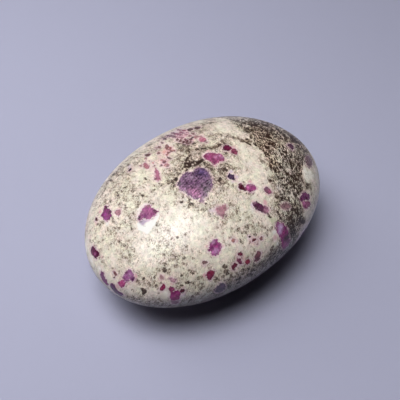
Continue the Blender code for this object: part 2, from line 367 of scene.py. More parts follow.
    (230, 208, 5, 0.1), (238, 198, 4, 0.08), (248, 194, 4, 0.08), (225, 213, 4, 0.08), (273, 148, 4, 0.12), (237, 170, 5, 0.06), (228, 185, 4, 0.06), (233, 138, 4, 0.12),
    (258, 124, 10, 0.18), (266, 123, 9, 0.14), (295, 138, 10, 0.22), (287, 143, 5, 0.12), (312, 160, 7, 0.18), (268, 168, 4, 0.1), (272, 178, 5, 0.12), (276, 188, 5, 0.12),
    (278, 198, 4, 0.1), (307, 186.5, 3, 0.4), (287, 238, 4, 0.15), (240, 258, 4, 0.12), (236, 253, 4, 0.08), (225, 290, 9, 0.1), (135, 300, 9, 0.1), (122, 211, 4, 0.08),
    (108, 204, 4, 0.08), (138, 221, 3, 0.08), (100, 256, 3, 0.1), (113, 267, 4, 0.06), (128, 172, 4, 0.08), (163, 225, 4, 0.05), (171, 258, 3, 0.1), (186, 198, 4, 0.08),
    (118, 192, 4, 0.05), (150, 240, 5, 0.04), (232, 118, 10, -0.2), (198, 157, 4, -0.12), (172, 171, 4, -0.1), (262, 151, 3, -0.12), (268, 158, 3, -0.12), (275, 171, 3, -0.15),
    (311, 175, 5, -0.1), (240, 183, 4, -0.08), (251, 184, 3, -0.06), (255, 200, 3, -0.06), (289, 190, 3, -0.12), (293, 197, 3, -0.12), (286, 213, 4, -0.12), (276, 238, 5, -0.25),
    (266, 250, 6, -0.2), (263, 259, 5, -0.2), (222, 247, 4, -0.08), (213, 222, 5, -0.1), (88, 250, 8, -0.1), (94, 262, 6, -0.1), (104, 274, 5, -0.1), (115, 171, 5, -0.08),
    (90, 220, 7, -0.1), (97, 200, 6, -0.06), (136, 290, 8, -0.12), (163, 294, 6, -0.14), (176, 271, 4, -0.1), (190, 283, 5, -0.1), (197, 267, 4, -0.08), (168, 181, 4, -0.1),
    (150, 200, 4, -0.05), (185, 214, 4, -0.06),
    (200, 132, 4, 0.1), (165, 138, 6, 0.1), (150, 144, 5, 0.1), (160, 150, 5, 0.09), (182, 148, 5, 0.09), (187, 143, 5, 0.09), (142, 162, 5, 0.09), (190, 168, 3, 0.15),
    (204, 143, 4, 0.1), (207, 152, 4, 0.08), (214, 165, 5, 0.12), (222, 145, 4, 0.08), (227, 153, 5, 0.08), (203, 164, 4, 0.08), (181, 170, 4, 0.1), (153, 178, 4, 0.06),
    (180, 190, 4, 0.09), (205, 193, 4, 0.08), (200, 202, 4, 0.06), (220, 203, 4, 0.09), (230, 208, 5, 0.11), (227, 216, 4, 0.1), (250, 193, 3, 0.08), (237, 175, 5, 0.06),
    (255, 124, 8, 0.15), (242, 130, 4, 0.12), (263, 122, 8, 0.12), (272, 148, 4, 0.15), (262, 160, 3, 0.1), (268, 170, 3, 0.1), (280, 167, 3, 0.15), (273, 180, 3, 0.1),
    (276, 195, 4, 0.12), (278, 210, 4, 0.12), (276, 225, 4, 0.1), (288, 143, 4, 0.12), (297, 137, 8, 0.2), (312, 160, 6, 0.2), (302, 153, 3, 0.1), (309, 185, 3, 0.25),
    (292, 182, 3, 0.1), (286, 237, 4, 0.15), (273, 257, 3, 0.1), (255, 234, 4, 0.1), (249, 238, 3, 0.1), (230, 240, 5, 0.06), (240, 258, 4, 0.12), (237, 265, 4, 0.08),
    (243, 280, 5, 0.06), (225, 290, 8, 0.12), (190, 296, 8, 0.1), (137, 300, 6, 0.12), (158, 288, 3, 0.1), (100, 257, 3, 0.12), (95, 249, 3, 0.1), (113, 268, 4, 0.08),
    (110, 285, 5, 0.08), (108, 205, 4, 0.1), (121, 211, 5, 0.09), (118, 196, 4, 0.06), (138, 221, 3, 0.06), (165, 226, 6, 0.06), (175, 232, 6, 0.05), (153, 244, 5, 0.06),
    (130, 255, 5, 0.06), (126, 172, 4, 0.08), (175, 208, 4, 0.05), (205, 216, 3, 0.08), (137, 274, 4, 0.08), (221, 137, 4, -0.12), (198, 146, 4, -0.1), (199, 157, 4, -0.08),
    (182, 158, 4, -0.1), (238, 158, 4, -0.1), (262, 140, 3, -0.15), (258, 131, 3, -0.08), (247, 130, 2, -0.1), (272, 128, 4, -0.12), (262, 152, 3, -0.15), (269, 157, 3, -0.15),
    (266, 176, 3, -0.1), (275, 172, 3, -0.15), (305, 152, 3, -0.15), (307, 157, 3, -0.12), (293, 165, 3, -0.12), (295, 155, 3, -0.1), (284, 188, 4, -0.12), (293, 196, 4, -0.12),
    (301, 170, 3, -0.1), (250, 183, 3, -0.08), (240, 183, 3, -0.08), (255, 201, 3, -0.08), (264, 205, 3, -0.08), (286, 213, 4, -0.12), (275, 237, 4, -0.25), (265, 250, 5, -0.12),
    (262, 263, 3, -0.12), (248, 250, 5, -0.08), (222, 247, 4, -0.12), (213, 225, 4, -0.1), (199, 226, 4, -0.08), (197, 240, 4, -0.06), (185, 215, 4, -0.06), (176, 270, 4, -0.1),
    (180, 285, 4, -0.1), (190, 283, 4, -0.08), (197, 267, 4, -0.08), (218, 273, 4, -0.1), (235, 275, 4, -0.08), (211, 287, 3, -0.1), (164, 293, 5, -0.15), (164, 263, 3, -0.14),
    (165, 253, 4, -0.08), (127, 292, 5, -0.12), (145, 290, 5, -0.08), (103, 272, 4, -0.12), (88, 250, 8, -0.1), (110, 189, 4, -0.12), (99, 200, 4, -0.08), (126, 197, 4, -0.08),
    (134, 186, 4, -0.06), (141, 180, 4, -0.06), (115, 170, 4, -0.1), (90, 225, 5, -0.08), (93, 238, 4, -0.08), (157, 224, 4, -0.06), (150, 200, 4, -0.08), (158, 205, 4, -0.06),
    (168, 181, 4, -0.06),
    (163, 138, 9, 0.15), (150, 145, 7, 0.12), (222, 203, 5, 0.12), (233, 204, 5, 0.1), (278, 218, 5, 0.15), (157, 288, 3, 0.08), (109, 288, 4, 0.08), (100, 257, 3, 0.08),
    (118, 196, 4, 0.06), (132, 245, 4, 0.06), (153, 244, 4, 0.06), (227, 185, 5, 0.1), (237, 172, 5, 0.06), (207, 123, 7, 0.12), (271, 148, 4, 0.08), (280, 167, 3, 0.08),
    (162, 170, 5, 0.06), (181, 191, 4, 0.06), (197, 178, 2, 0.05), (240, 258, 4, 0.06), (216, 181, 4, -0.12), (252, 250, 6, -0.1), (266, 250, 5, -0.1), (275, 238, 4, -0.2),
    (163, 295, 5, -0.15), (128, 292, 5, -0.08), (200, 256, 6, -0.06), (222, 246, 3, -0.1), (105, 215, 4, -0.06), (288, 220, 4, -0.08), (293, 198, 4, -0.1), (262, 150, 3, -0.1),
    (269, 157, 3, -0.1), (305, 155, 3, -0.12), (233, 217, 3, -0.08), (251, 212, 3, -0.06),
    (256, 142, 5, -0.1), (262, 152, 4, -0.12), (260, 168, 5, -0.1), (264, 176, 4, -0.1), (232, 118, 6, -0.1), (152, 253, 4, -0.08), (127, 265, 4, -0.08), (143, 271, 3, -0.08),
    (182, 258, 4, -0.08), (115, 212, 4, 0.05), (280, 167, 3, 0.12), (272, 136, 4, 0.12), (270, 148, 4, 0.08), (293, 185, 4, 0.12), (192, 145, 4, 0.1), (207, 150, 4, 0.1),
    (160, 151, 4, 0.08), (192, 165, 4, 0.08), (226, 218, 4, 0.06), (275, 225, 4, 0.08), (243, 260, 4, 0.08), (100, 257, 3, 0.08), (160, 258, 3, 0.06),
]
# Grains and smears of mica: two ends in the picture, half width in pixels, amount.
MARKS = [
    # upper left, in the cluster of small red grains
    (188.5, 129.3, 192, 129, 1.1, 0.55), (193.5, 128, 199.5, 127.8, 1.1, 0.6), (191.5, 132, 194, 131.5, 0.9, 0.35), (198, 133, 200, 131.5, 1, 0.42), (197, 131, 197, 131, 0.8, 0.3), (163, 138.5, 166, 139, 1.2, 0.42),
    (167, 135.8, 169, 135.2, 0.9, 0.35), (171, 134, 178, 133.5, 1.1, 0.25), (177.5, 130.5, 180, 130, 0.9, 0.3), (174.5, 136.5, 174.5, 136.5, 1, 0.2), (178, 140.8, 184, 140.8, 1.3, 0.32), (184, 140.5, 184, 140.5, 1.2, 0.5),
    (186.5, 139, 191, 139, 1, 0.35), (191.5, 138.5, 193, 137, 1, 0.5), (190.5, 141.5, 190.5, 141.5, 1, 0.35), (193, 143, 195, 143.3, 0.9, 0.45), (177, 143.5, 180, 143.3, 0.8, 0.32), (183, 144, 188, 144.5, 0.9, 0.35),
    (195.3, 145.5, 195.3, 145.5, 0.8, 0.4), (188, 147, 187.5, 150, 1.3, 0.4), (181, 147.5, 181.5, 156, 1.3, 0.24), (183.3, 150.3, 183.3, 150.3, 0.9, 0.5), (187, 151.5, 190, 152, 1.4, 0.42), (189.5, 153, 190, 156, 1.2, 0.4),
    (188, 157.5, 188, 157.5, 1.5, 0.55), (186.5, 159.5, 186.5, 160.8, 0.9, 0.65), (189.3, 160.5, 189.3, 160.5, 0.9, 0.55), (185, 163.5, 188.5, 163.5, 0.9, 0.8), (184.8, 166.5, 189.5, 167, 0.9, 0.8), (189.3, 164, 189.5, 166, 0.9, 0.8),
    (184.6, 165, 184.6, 165, 0.7, 0.65), (191, 162, 197, 163, 1.6, 0.38), (196, 164.7, 200, 162, 1.2, 0.65), (199.5, 161.5, 202.5, 160, 1.4, 0.8), (196, 149.6, 200, 149, 0.9, 0.5), (201, 149, 205, 148.3, 0.9, 0.55),
    (194.5, 150.7, 194.5, 150.7, 0.9, 0.4), (209, 147.5, 212, 149, 0.9, 0.4), (206, 144.5, 206, 144.5, 0.8, 0.3), (215, 146, 215, 146, 1.5, 0.42), (195.5, 155, 195.5, 155, 0.8, 0.35), (196, 158, 196, 158, 1.1, 0.35),
    (192.5, 166.5, 192.5, 166.5, 0.9, 0.4), (195, 167.6, 201, 167.3, 0.8, 0.35), (201, 165, 201, 165, 1, 0.35), (205.5, 167.5, 207.5, 167.7, 0.9, 0.5), (211.5, 168.6, 211.5, 168.6, 1, 0.5), (182.3, 168.7, 182.3, 168.7, 1, 0.65),
    (186.7, 170.2, 186.7, 170.2, 1.1, 0.6), (180, 173.5, 179, 175, 1.1, 0.45), (177.5, 173, 177.5, 173, 0.8, 0.35), (176, 178, 176.5, 180, 1.2, 0.6), (170.5, 181, 174, 181.5, 1.3, 0.42), (168.7, 183.2, 168.7, 183.2, 1.2, 0.55),
    (168, 180.3, 168, 180.3, 1, 0.42), (170.5, 187, 170.5, 187, 1.3, 0.45), (171, 189.5, 171, 189.5, 0.9, 0.4), (213.5, 179, 213.5, 179, 1.1, 0.55), (220.5, 178.5, 219.5, 180.5, 1.2, 0.6), (216.5, 181.3, 216.5, 181.3, 0.9, 0.35),
    (211.5, 182, 211.5, 182, 0.9, 0.5), (210.5, 177, 210.5, 177, 1.2, 0.42), (220, 183.5, 225, 183.5, 0.9, 0.4), (225.2, 176.3, 225.2, 176.3, 0.9, 0.55), (219, 170.5, 219, 170.5, 1.3, 0.3), (223.5, 170.2, 223.5, 170.2, 1, 0.45),
    (224.5, 168.5, 224.5, 168.5, 1, 0.6), (226.7, 170, 226.7, 170, 1.3, 0.7), (221.5, 164.5, 221.5, 164.5, 1, 0.5), (219.3, 145.2, 220.3, 144.3, 1.1, 0.55), (216, 147.5, 216, 147.5, 0.9, 0.35), (223.5, 191.2, 223.5, 191.2, 0.9, 0.35),
    (230.5, 168, 230.5, 168, 1.3, 0.42), (233.5, 169.3, 233.5, 169.3, 0.9, 0.55), (236, 168.2, 240, 168.3, 1.4, 0.3), (236, 173.3, 236, 173.3, 0.9, 0.3), (226, 164.5, 226, 164.5, 1.3, 0.35), (226.5, 182, 226.5, 182, 1, 0.4),
    (174, 186, 173, 183.5, 1, 0.4), (175.5, 183, 175, 186, 1.2, 0.4), (177, 196.5, 175, 193, 1, 0.3), (183, 155, 177, 159, 1, 0.24), (200, 153.5, 200.5, 157, 1.3, 0.24), (205, 163.5, 211, 165.5, 1.6, 0.25),
    # left side above the middle
    (136, 154.8, 137.3, 154.6, 0.9, 0.4), (131, 157, 132.5, 156.5, 1.2, 0.35), (128, 165.5, 128.5, 164, 1.5, 0.4), (122, 166.5, 122, 166.5, 1, 0.35), (125, 167.2, 125, 167.2, 0.8, 0.35), (120.5, 169.5, 120.5, 169.5, 0.9, 0.35),
    (113, 174.3, 119, 175, 1.2, 0.38), (122, 174, 124, 172, 1.4, 0.35), (126.5, 174.5, 128.5, 174.4, 1.1, 0.45), (117.5, 179.5, 117.5, 179.5, 0.9, 0.45), (110.5, 180, 112, 181.5, 1.2, 0.5), (113.5, 182.5, 113.5, 182.5, 1, 0.35),
    (126, 177.5, 126, 177.5, 0.8, 0.35), (124, 187.6, 125.5, 187.4, 1.2, 0.5), (127.5, 186.3, 127.5, 186.3, 1.2, 0.4), (133.5, 185.5, 133.5, 185.5, 1, 0.5), (132, 191, 133.5, 191.3, 1.2, 0.55), (121.5, 191, 121.5, 191, 0.8, 0.42),
    (118, 192, 119, 195, 1.2, 0.3), (140, 190.5, 140, 190.5, 0.8, 0.3), (145, 178, 146, 179.5, 0.9, 0.55), (154.5, 189.5, 154.5, 189.5, 1, 0.7), (153.5, 186, 153.5, 186, 1.2, 0.4), (160.5, 185.5, 160.5, 185.5, 1.1, 0.45),
    (159.5, 183.5, 159.5, 183.5, 0.9, 0.4), (162.5, 188, 162.5, 188, 1.1, 0.4), (168.5, 174.5, 168.5, 174.5, 1.4, 0.35), (164, 172.5, 164, 172.5, 0.8, 0.3), (137, 163.8, 138, 162.7, 0.7, 0.35), (139.5, 164.5, 139.5, 164.5, 0.7, 0.4),
    (148.5, 145, 152, 144.5, 1.1, 0.35), (154.5, 142.4, 154.5, 142.4, 0.8, 0.32), (150, 148, 150, 148, 0.9, 0.32), (151.7, 150.5, 151.7, 150.5, 0.8, 0.45), (153.5, 166.2, 156, 165, 1.3, 0.36), (142.5, 173, 142.5, 173, 0.8, 0.3),
    (150, 171.5, 150, 171.5, 0.7, 0.3), (118, 170.5, 117, 172, 0.9, 0.35), (123, 180, 122, 183, 0.9, 0.22), (116, 185, 114, 188, 1, 0.22), (105, 190, 103, 194, 1, 0.28), (109, 187, 108, 190, 0.9, 0.26), (144, 183, 147, 186, 0.7, 0.18),
    # left side
    (105.5, 197, 105.5, 199, 1.4, 0.22), (105.5, 201.7, 105.5, 201.7, 1, 0.45), (106.5, 203.5, 106.5, 203.5, 0.9, 0.4), (109.5, 201.5, 111, 201.5, 0.9, 0.4), (118.3, 195.5, 118.3, 195.5, 1, 0.6), (119.5, 198, 119.5, 198, 1, 0.35),
    (117.3, 198.5, 117.3, 198.5, 0.8, 0.35), (133, 196.5, 133, 196.5, 1.1, 0.4), (133.5, 199, 133.5, 199, 0.9, 0.24), (138.4, 198.5, 138.4, 198.5, 0.8, 0.42), (124, 200.5, 124, 200.5, 0.9, 0.24), (118.5, 204.5, 118.5, 204.5, 0.8, 0.24),
    (121.5, 208, 121.5, 208, 0.9, 0.28), (125, 205, 125.3, 210, 0.8, 0.34), (133, 213, 133, 213, 1.1, 0.46), (125.7, 213.3, 125.7, 213.3, 0.7, 0.24), (129, 214, 130, 218, 1.1, 0.34), (130.5, 224.5, 131, 226.5, 1.1, 0.4),
    (131.5, 228.5, 131.5, 228.5, 0.9, 0.46), (134.3, 228.3, 135.5, 228.5, 0.8, 0.4), (132.5, 231.3, 132.5, 231.3, 0.7, 0.26), (125.7, 219.3, 125.7, 219.3, 0.8, 0.24), (112.3, 217.5, 113.2, 221, 1.1, 0.46), (114.5, 222.5, 117, 223.5, 1, 0.4),
    (119.3, 227.7, 119.3, 227.7, 0.9, 0.46), (107.5, 228, 107.6, 230.3, 0.8, 0.5), (101.5, 222, 101.5, 222, 1, 0.35), (97.5, 224.3, 97.5, 224.3, 1.1, 0.45), (100, 225.3, 100, 225.3, 1, 0.5), (94.5, 227.5, 94.3, 229, 0.8, 0.3),
    (90.5, 231.3, 90.5, 231.3, 0.8, 0.35), (95.5, 233.5, 95.5, 233.5, 0.8, 0.4), (92.5, 236, 92.5, 236, 0.8, 0.3), (94, 206, 96.5, 202.5, 1, 0.34), (99.5, 205.5, 101.5, 205.3, 0.7, 0.3), (97.5, 201.3, 97.5, 201.3, 0.8, 0.24),
    (99.3, 195.5, 97.5, 197.5, 0.9, 0.4), (88, 215, 87, 218, 1, 0.35), (86.3, 221, 85.5, 225, 1.1, 0.25), (85, 235, 85.5, 238, 1.3, 0.25), (90, 241, 92.5, 241.5, 1.3, 0.34), (98.7, 243, 99, 242, 1.1, 0.34),
    (103, 240.3, 103, 240.3, 1, 0.34), (110.5, 242.5, 110.5, 243.8, 1, 0.5), (115.4, 239.7, 115.4, 239.7, 0.9, 0.45), (118.5, 240.7, 120.5, 241.7, 1.3, 0.45), (127, 240, 129, 241.7, 1.2, 0.32), (127.7, 237.2, 127.7, 237.2, 0.7, 0.24),
    # lower left
    (99, 243.3, 99, 243.3, 1, 0.25), (122, 244.5, 125, 245.5, 1.2, 0.34), (120.5, 247, 120.5, 247, 1, 0.24), (121.5, 249.5, 121.5, 249.5, 0.9, 0.24), (131, 244, 133.5, 250, 1.4, 0.28), (128.5, 253, 130.5, 256, 1.2, 0.4),
    (122.5, 257.3, 128, 257.6, 1, 0.4), (130.5, 258, 130.5, 258, 0.8, 0.3), (118.5, 259.5, 118.5, 259.5, 1.1, 0.4), (129.5, 260.5, 130.5, 261.5, 0.8, 0.45), (137.5, 261.3, 137.5, 261.3, 0.8, 0.4), (135.7, 266.5, 135.7, 266.5, 0.8, 0.34),
    (119.5, 264.5, 119.5, 264.5, 0.7, 0.3), (119.3, 267.5, 119.3, 267.5, 0.7, 0.24), (115.5, 254.5, 115.5, 254.5, 1, 0.24), (108, 257.5, 108, 257.5, 0.9, 0.3), (102.3, 257.3, 102.3, 257.3, 1, 0.5), (101, 260.5, 105.5, 265, 1, 0.45),
    (99.5, 258.5, 99.5, 258.5, 0.9, 0.34), (105.5, 265, 108, 266.5, 0.8, 0.26), (112.5, 268.5, 112.5, 268.5, 1.1, 0.4), (113.5, 271.5, 115, 272.5, 1.1, 0.5), (114.3, 277.8, 114.3, 277.8, 1, 0.6), (138, 272, 139.5, 276, 1.4, 0.38),
    (137, 281, 139, 284, 1.4, 0.38), (132, 290, 133, 290.3, 1.2, 0.4), (127, 293, 127, 293, 1.2, 0.34), (92, 267.5, 94.5, 268.5, 1.1, 0.35), (102, 270.5, 104, 272.5, 1.2, 0.36), (116, 250, 112, 252, 0.8, 0.18), (124, 251, 120, 254, 0.8, 0.18),
    # below the middle
    (143.5, 278.5, 143.5, 278.5, 1.1, 0.65), (154.5, 277.5, 154.5, 277.5, 1, 0.58), (155.5, 275.5, 155.5, 275.5, 0.8, 0.4), (156.5, 269, 156.5, 269, 0.9, 0.45), (159.7, 271, 159.7, 271, 1, 0.5), (163.5, 269, 164.5, 270.5, 1.5, 0.6),
    (163.7, 264.2, 164.7, 264, 1.5, 0.48), (159.5, 263.5, 159.5, 263.5, 1.3, 0.34), (162.5, 267.5, 162.5, 267.5, 0.7, 0.35), (169.5, 269.3, 169.5, 269.3, 0.9, 0.48), (168.5, 273, 168.8, 274, 1.3, 0.42), (170.5, 260, 172, 259, 1.5, 0.45),
    (174.8, 258, 174.8, 258, 1.2, 0.5), (174.5, 255.5, 174.5, 255.5, 1.7, 0.3), (171, 253.5, 171, 253.5, 0.9, 0.34), (178.7, 256, 178.7, 256, 1, 0.4), (184.3, 257.8, 184.3, 257.8, 1.2, 0.55), (187.5, 257.5, 187.5, 257.5, 0.8, 0.34),
    (183, 254.5, 184.5, 254, 1.1, 0.34), (183.5, 263.5, 183.5, 263.5, 1.3, 0.36), (187.2, 263.5, 187.2, 263.5, 0.8, 0.3), (175.5, 266, 177, 266.3, 1.6, 0.5), (180, 267, 180, 267, 0.9, 0.34), (183.3, 268.5, 183.3, 268.5, 0.8, 0.46),
    (193, 258.3, 193, 258.3, 1.2, 0.46), (195.5, 267, 195, 265, 0.8, 0.34), (197.5, 261.5, 197.5, 261.5, 0.8, 0.36), (191.5, 271.5, 192.8, 272.8, 1.3, 0.5), (193.4, 273.6, 193.4, 273.6, 0.8, 0.6), (195.5, 271.5, 195.5, 271.5, 0.9, 0.48),
    (197.5, 273.5, 197.5, 273.5, 0.8, 0.5), (190, 270, 190, 270, 0.8, 0.35), (186.5, 273.5, 186.5, 273.5, 0.7, 0.34), (181.5, 275.5, 181.5, 275.5, 0.9, 0.58), (198.5, 277.5, 198.3, 279, 1.2, 0.42), (186.5, 283, 188.5, 282.5, 1.1, 0.6),
    (192, 282.5, 192.6, 283.3, 1.1, 0.55), (181, 285.5, 182.2, 285.5, 0.9, 0.6), (176.5, 283.6, 178.5, 283, 1.4, 0.5), (176.5, 288.3, 179, 287.6, 1.3, 0.5), (176.5, 279.3, 176.5, 279.3, 0.9, 0.4), (174.3, 281.3, 174.3, 281.3, 0.9, 0.4),
    (149, 283.5, 149.8, 284.5, 1.1, 0.45), (156.3, 285.5, 156.8, 286.8, 1.1, 0.52), (157.5, 288.5, 157.5, 288.5, 1.5, 0.36), (161, 283.3, 161, 283.3, 1, 0.4), (167.5, 288.5, 167.5, 288.5, 0.7, 0.42), (142, 289.5, 143.5, 289.5, 1.3, 0.6),
    (143.8, 291.7, 145, 291.4, 1.4, 0.7), (143.5, 293.5, 143.5, 293.5, 1.2, 0.65), (158.5, 293, 158.5, 293, 1.3, 0.45), (196.5, 293.5, 198, 294, 1.5, 0.42), (153.5, 272.5, 153.5, 272.5, 0.7, 0.3), (153.4, 256.5, 153.4, 256.5, 0.8, 0.42),
    (158.5, 249, 158.5, 250.5, 0.9, 0.34), (159.5, 246, 159.5, 246, 0.9, 0.34), (163, 254.7, 165, 255, 0.8, 0.34), (164, 258.5, 164, 258.5, 1.2, 0.3), (161.5, 260.5, 161.5, 260.5, 0.7, 0.35), (187, 246.3, 187, 246.3, 1.1, 0.46),
    (185.6, 250.5, 185.6, 250.5, 0.8, 0.48), (160.3, 241.3, 160.3, 241.3, 0.9, 0.3), (174.5, 248, 174.5, 248, 0.7, 0.25), (182, 249.5, 182, 249.5, 0.8, 0.3), (148.5, 259.5, 148.5, 259.5, 0.6, 0.25), (168, 247.5, 167, 245.5, 0.8, 0.2),
    # the middle
    (190.5, 203.7, 192.3, 204.3, 1.2, 0.6), (190.3, 199.3, 190.3, 199.3, 0.9, 0.6), (194.8, 199.3, 194.8, 199.3, 0.9, 0.42), (200.3, 201, 201.5, 202.3, 1.3, 0.46), (202.5, 200.2, 202.5, 200.2, 0.8, 0.48), (205.6, 203.5, 205.6, 203.5, 0.9, 0.6),
    (194.3, 205, 195.5, 207.5, 0.8, 0.42), (194.5, 211, 194.5, 211, 1.4, 0.3), (198.5, 209.5, 205.3, 210.4, 0.9, 0.4), (198, 212.5, 198, 212.5, 1.2, 0.25), (207, 209.3, 207, 209.3, 0.8, 0.3), (209.5, 215.5, 209.5, 215.5, 1.6, 0.25),
    (214, 205.3, 215.5, 207, 1.3, 0.3), (222, 216, 225.5, 216.3, 1.2, 0.45), (223.5, 213.3, 223.5, 213.3, 0.8, 0.42), (217.3, 214, 220, 214.4, 0.9, 0.35), (217.8, 218, 217.3, 219.7, 0.8, 0.46), (228, 217.5, 228, 217.5, 1, 0.36),
    (224, 223.8, 225.5, 223.8, 1.2, 0.42), (222.5, 222, 222.5, 222, 0.9, 0.3), (220.5, 225, 220.5, 225, 0.9, 0.26), (213.3, 221.5, 213.3, 221.5, 0.8, 0.3), (217.5, 227.5, 217.5, 227.5, 1, 0.3), (214, 227.5, 214, 227.5, 0.9, 0.2),
    (221.5, 227.3, 221.5, 227.3, 0.8, 0.3), (207.7, 231.8, 207.7, 231.8, 1.2, 0.5), (231.7, 228.7, 231.7, 228.7, 0.9, 0.36), (223, 230.3, 223, 230.3, 0.8, 0.24), (222.5, 233, 223, 234.3, 0.9, 0.28), (229.8, 203.7, 229.8, 204.8, 1.2, 0.5),
    (232, 205.3, 235, 205.3, 0.8, 0.25), (238.8, 207.5, 238.8, 207.5, 0.9, 0.38), (243.7, 208.3, 243.7, 208.3, 0.7, 0.34), (236.6, 213.5, 237.3, 211, 1, 0.46), (233, 212.5, 233.3, 215, 0.9, 0.42), (243, 214.8, 244.5, 213, 0.9, 0.42),
    (246.5, 212, 246.5, 212, 0.9, 0.36), (245.7, 218.5, 245.7, 218.5, 1, 0.42), (248.5, 217.5, 248.5, 217.5, 1.2, 0.42), (235.8, 221.6, 237.5, 221.4, 0.9, 0.48), (239, 220.4, 239.8, 220.2, 0.8, 0.38), (246.3, 227, 247.8, 226.5, 1.2, 0.48),
    (248.5, 228.5, 248.5, 228.5, 1, 0.42), (247.5, 224.5, 247.5, 224.5, 0.8, 0.38), (238, 228.8, 238, 230.5, 1.2, 0.46), (239.7, 228.3, 239.7, 228.3, 0.9, 0.48), (236.5, 226.5, 236.5, 226.5, 0.9, 0.28), (242, 233.2, 245.3, 232.6, 1.1, 0.5),
    (228.7, 237.7, 228.7, 237.7, 1.1, 0.36), (239.5, 240.3, 242.5, 243, 1.2, 0.42), (223, 238.7, 223, 238.7, 1.1, 0.32), (223.3, 242.3, 223.3, 242.3, 0.9, 0.32), (206.3, 238.5, 206.3, 238.5, 0.9, 0.38), (191.7, 217.8, 191.7, 217.8, 0.9, 0.3),
    (208.5, 197.5, 208.5, 197.5, 0.9, 0.3), (217.5, 197.3, 217.5, 197.3, 1, 0.2), (226.3, 196.5, 226.3, 196.5, 0.9, 0.26), (215, 225, 217, 224, 0.7, 0.15), (226, 221, 228, 221.5, 0.8, 0.2), (231, 216, 231, 218, 0.8, 0.2),
    (140.3, 193.5, 140.3, 193.5, 1, 0.48), (142, 195, 143, 196, 0.9, 0.58), (144.5, 196.3, 148, 196.6, 0.7, 0.42), (139, 201.5, 140.3, 203, 1.1, 0.48), (137.8, 205, 136.8, 207.7, 1.1, 0.42), (145.3, 201.5, 145.3, 201.5, 0.9, 0.42),
    (149, 202.5, 149, 202.5, 0.9, 0.42), (151.2, 203.3, 153, 203.6, 0.8, 0.5), (151.5, 191.5, 151.5, 191.5, 0.9, 0.38), (154.5, 194.3, 154.5, 194.3, 0.7, 0.32), (156.3, 193.3, 156.3, 193.3, 0.7, 0.32), (157.5, 198.3, 159.5, 199.5, 0.6, 0.26),
    (162.5, 191.3, 162.5, 191.3, 0.8, 0.32), (169.3, 191.2, 169.3, 191.2, 0.9, 0.48), (163, 201, 163, 201, 0.9, 0.3), (165.3, 204.5, 165.3, 204.5, 0.7, 0.38), (170.5, 203.3, 170.5, 203.3, 0.8, 0.42), (173.5, 201.5, 173.5, 201.5, 0.7, 0.28),
    (174.5, 196, 175, 194, 0.8, 0.42), (175.5, 198, 175.5, 198, 0.8, 0.36), (181, 202.4, 182.4, 202.2, 0.8, 0.6), (183.5, 197, 183, 199.3, 1, 0.36), (183.3, 194.5, 183.3, 194.5, 0.7, 0.36), (187, 196.7, 189, 197, 0.9, 0.42),
    (188.5, 201.5, 188.5, 201.5, 1.2, 0.42), (189, 205.5, 188.5, 207.5, 0.9, 0.48), (158.3, 221, 158.3, 221, 0.7, 0.36), (156.5, 224.5, 157.8, 225, 1.2, 0.46), (144.5, 226.2, 144.5, 226.2, 0.8, 0.36), (147.8, 234.3, 147.8, 234.3, 0.9, 0.42),
    (157.8, 232, 157.8, 232, 0.9, 0.32), (157.3, 229.5, 157.3, 229.5, 0.7, 0.26), (168.5, 230.6, 168.5, 230.6, 0.9, 0.42), (163.5, 231.3, 163.5, 231.3, 0.6, 0.26), (177.6, 237.3, 177.6, 237.3, 1, 0.6), (171.4, 239.2, 172.3, 238.2, 0.8, 0.48),
    (172.5, 241.5, 172.5, 241.5, 0.6, 0.26), (182.7, 237.3, 182.7, 237.3, 0.6, 0.26), (186.5, 233, 185.5, 234.5, 0.8, 0.32), (184.6, 218.5, 184.6, 218.5, 0.8, 0.42), (141.5, 239.5, 141.5, 239.5, 0.9, 0.42), (137.5, 232.5, 137.5, 232.5, 1, 0.3),
    (135.3, 228.5, 135.3, 228.5, 0.8, 0.36), (196, 216, 200, 217, 0.6, 0.14), (168, 212, 168, 214, 0.6, 0.14), (161, 214, 162, 217, 0.7, 0.16), (152, 238, 151, 240, 0.7, 0.16), (164, 222, 162, 224, 0.6, 0.14),
    # below the middle, right
    (209.5, 268.7, 209.5, 268.7, 1.2, 0.4), (212.5, 263.5, 212.5, 263.5, 0.9, 0.3), (224, 266.5, 225.5, 266.7, 1.6, 0.6), (226.5, 264.8, 226.5, 264.8, 1, 0.42), (225, 271.8, 227.5, 271.2, 1.5, 0.55), (227, 274.2, 228, 273.8, 1.1, 0.62),
    (232.8, 277.3, 234.3, 276.7, 1.2, 0.5), (236.5, 279.5, 236.5, 279.5, 0.9, 0.58), (239.3, 278.6, 240.2, 277.3, 1.1, 0.58), (242.5, 270.5, 242.5, 270.5, 1.7, 0.42), (243.5, 273.5, 243.5, 273.5, 1.5, 0.42), (246.5, 269, 248, 269, 1.2, 0.42),
    (248, 275, 252, 275, 1.8, 0.5), (238, 283, 239, 282.5, 1.6, 0.45), (225, 283.7, 226.3, 283.5, 0.9, 0.48), (226, 280.8, 228, 280.5, 1.8, 0.36), (219.5, 280.3, 219.5, 280.3, 0.9, 0.42), (216.5, 279, 216.5, 279, 1.2, 0.48),
    (215.5, 277, 215.5, 277, 1, 0.46), (202.3, 284, 202.3, 284, 1.2, 0.58), (204, 286.5, 204, 286.5, 1.2, 0.42), (201.5, 277, 201.5, 277, 1.2, 0.42), (199, 251.5, 199.5, 252.5, 0.9, 0.3), (201.3, 253.5, 201.3, 253.5, 0.9, 0.42),
    (206.5, 253, 206.5, 253, 0.8, 0.36), (201, 246.5, 201, 246.5, 0.8, 0.38), (218.5, 268, 218.5, 268, 0.8, 0.32), (229.5, 244.5, 229.5, 244.5, 1, 0.42), (226.5, 245.5, 226, 243.5, 0.9, 0.3), (223.5, 241.5, 223.5, 241.5, 0.8, 0.3),
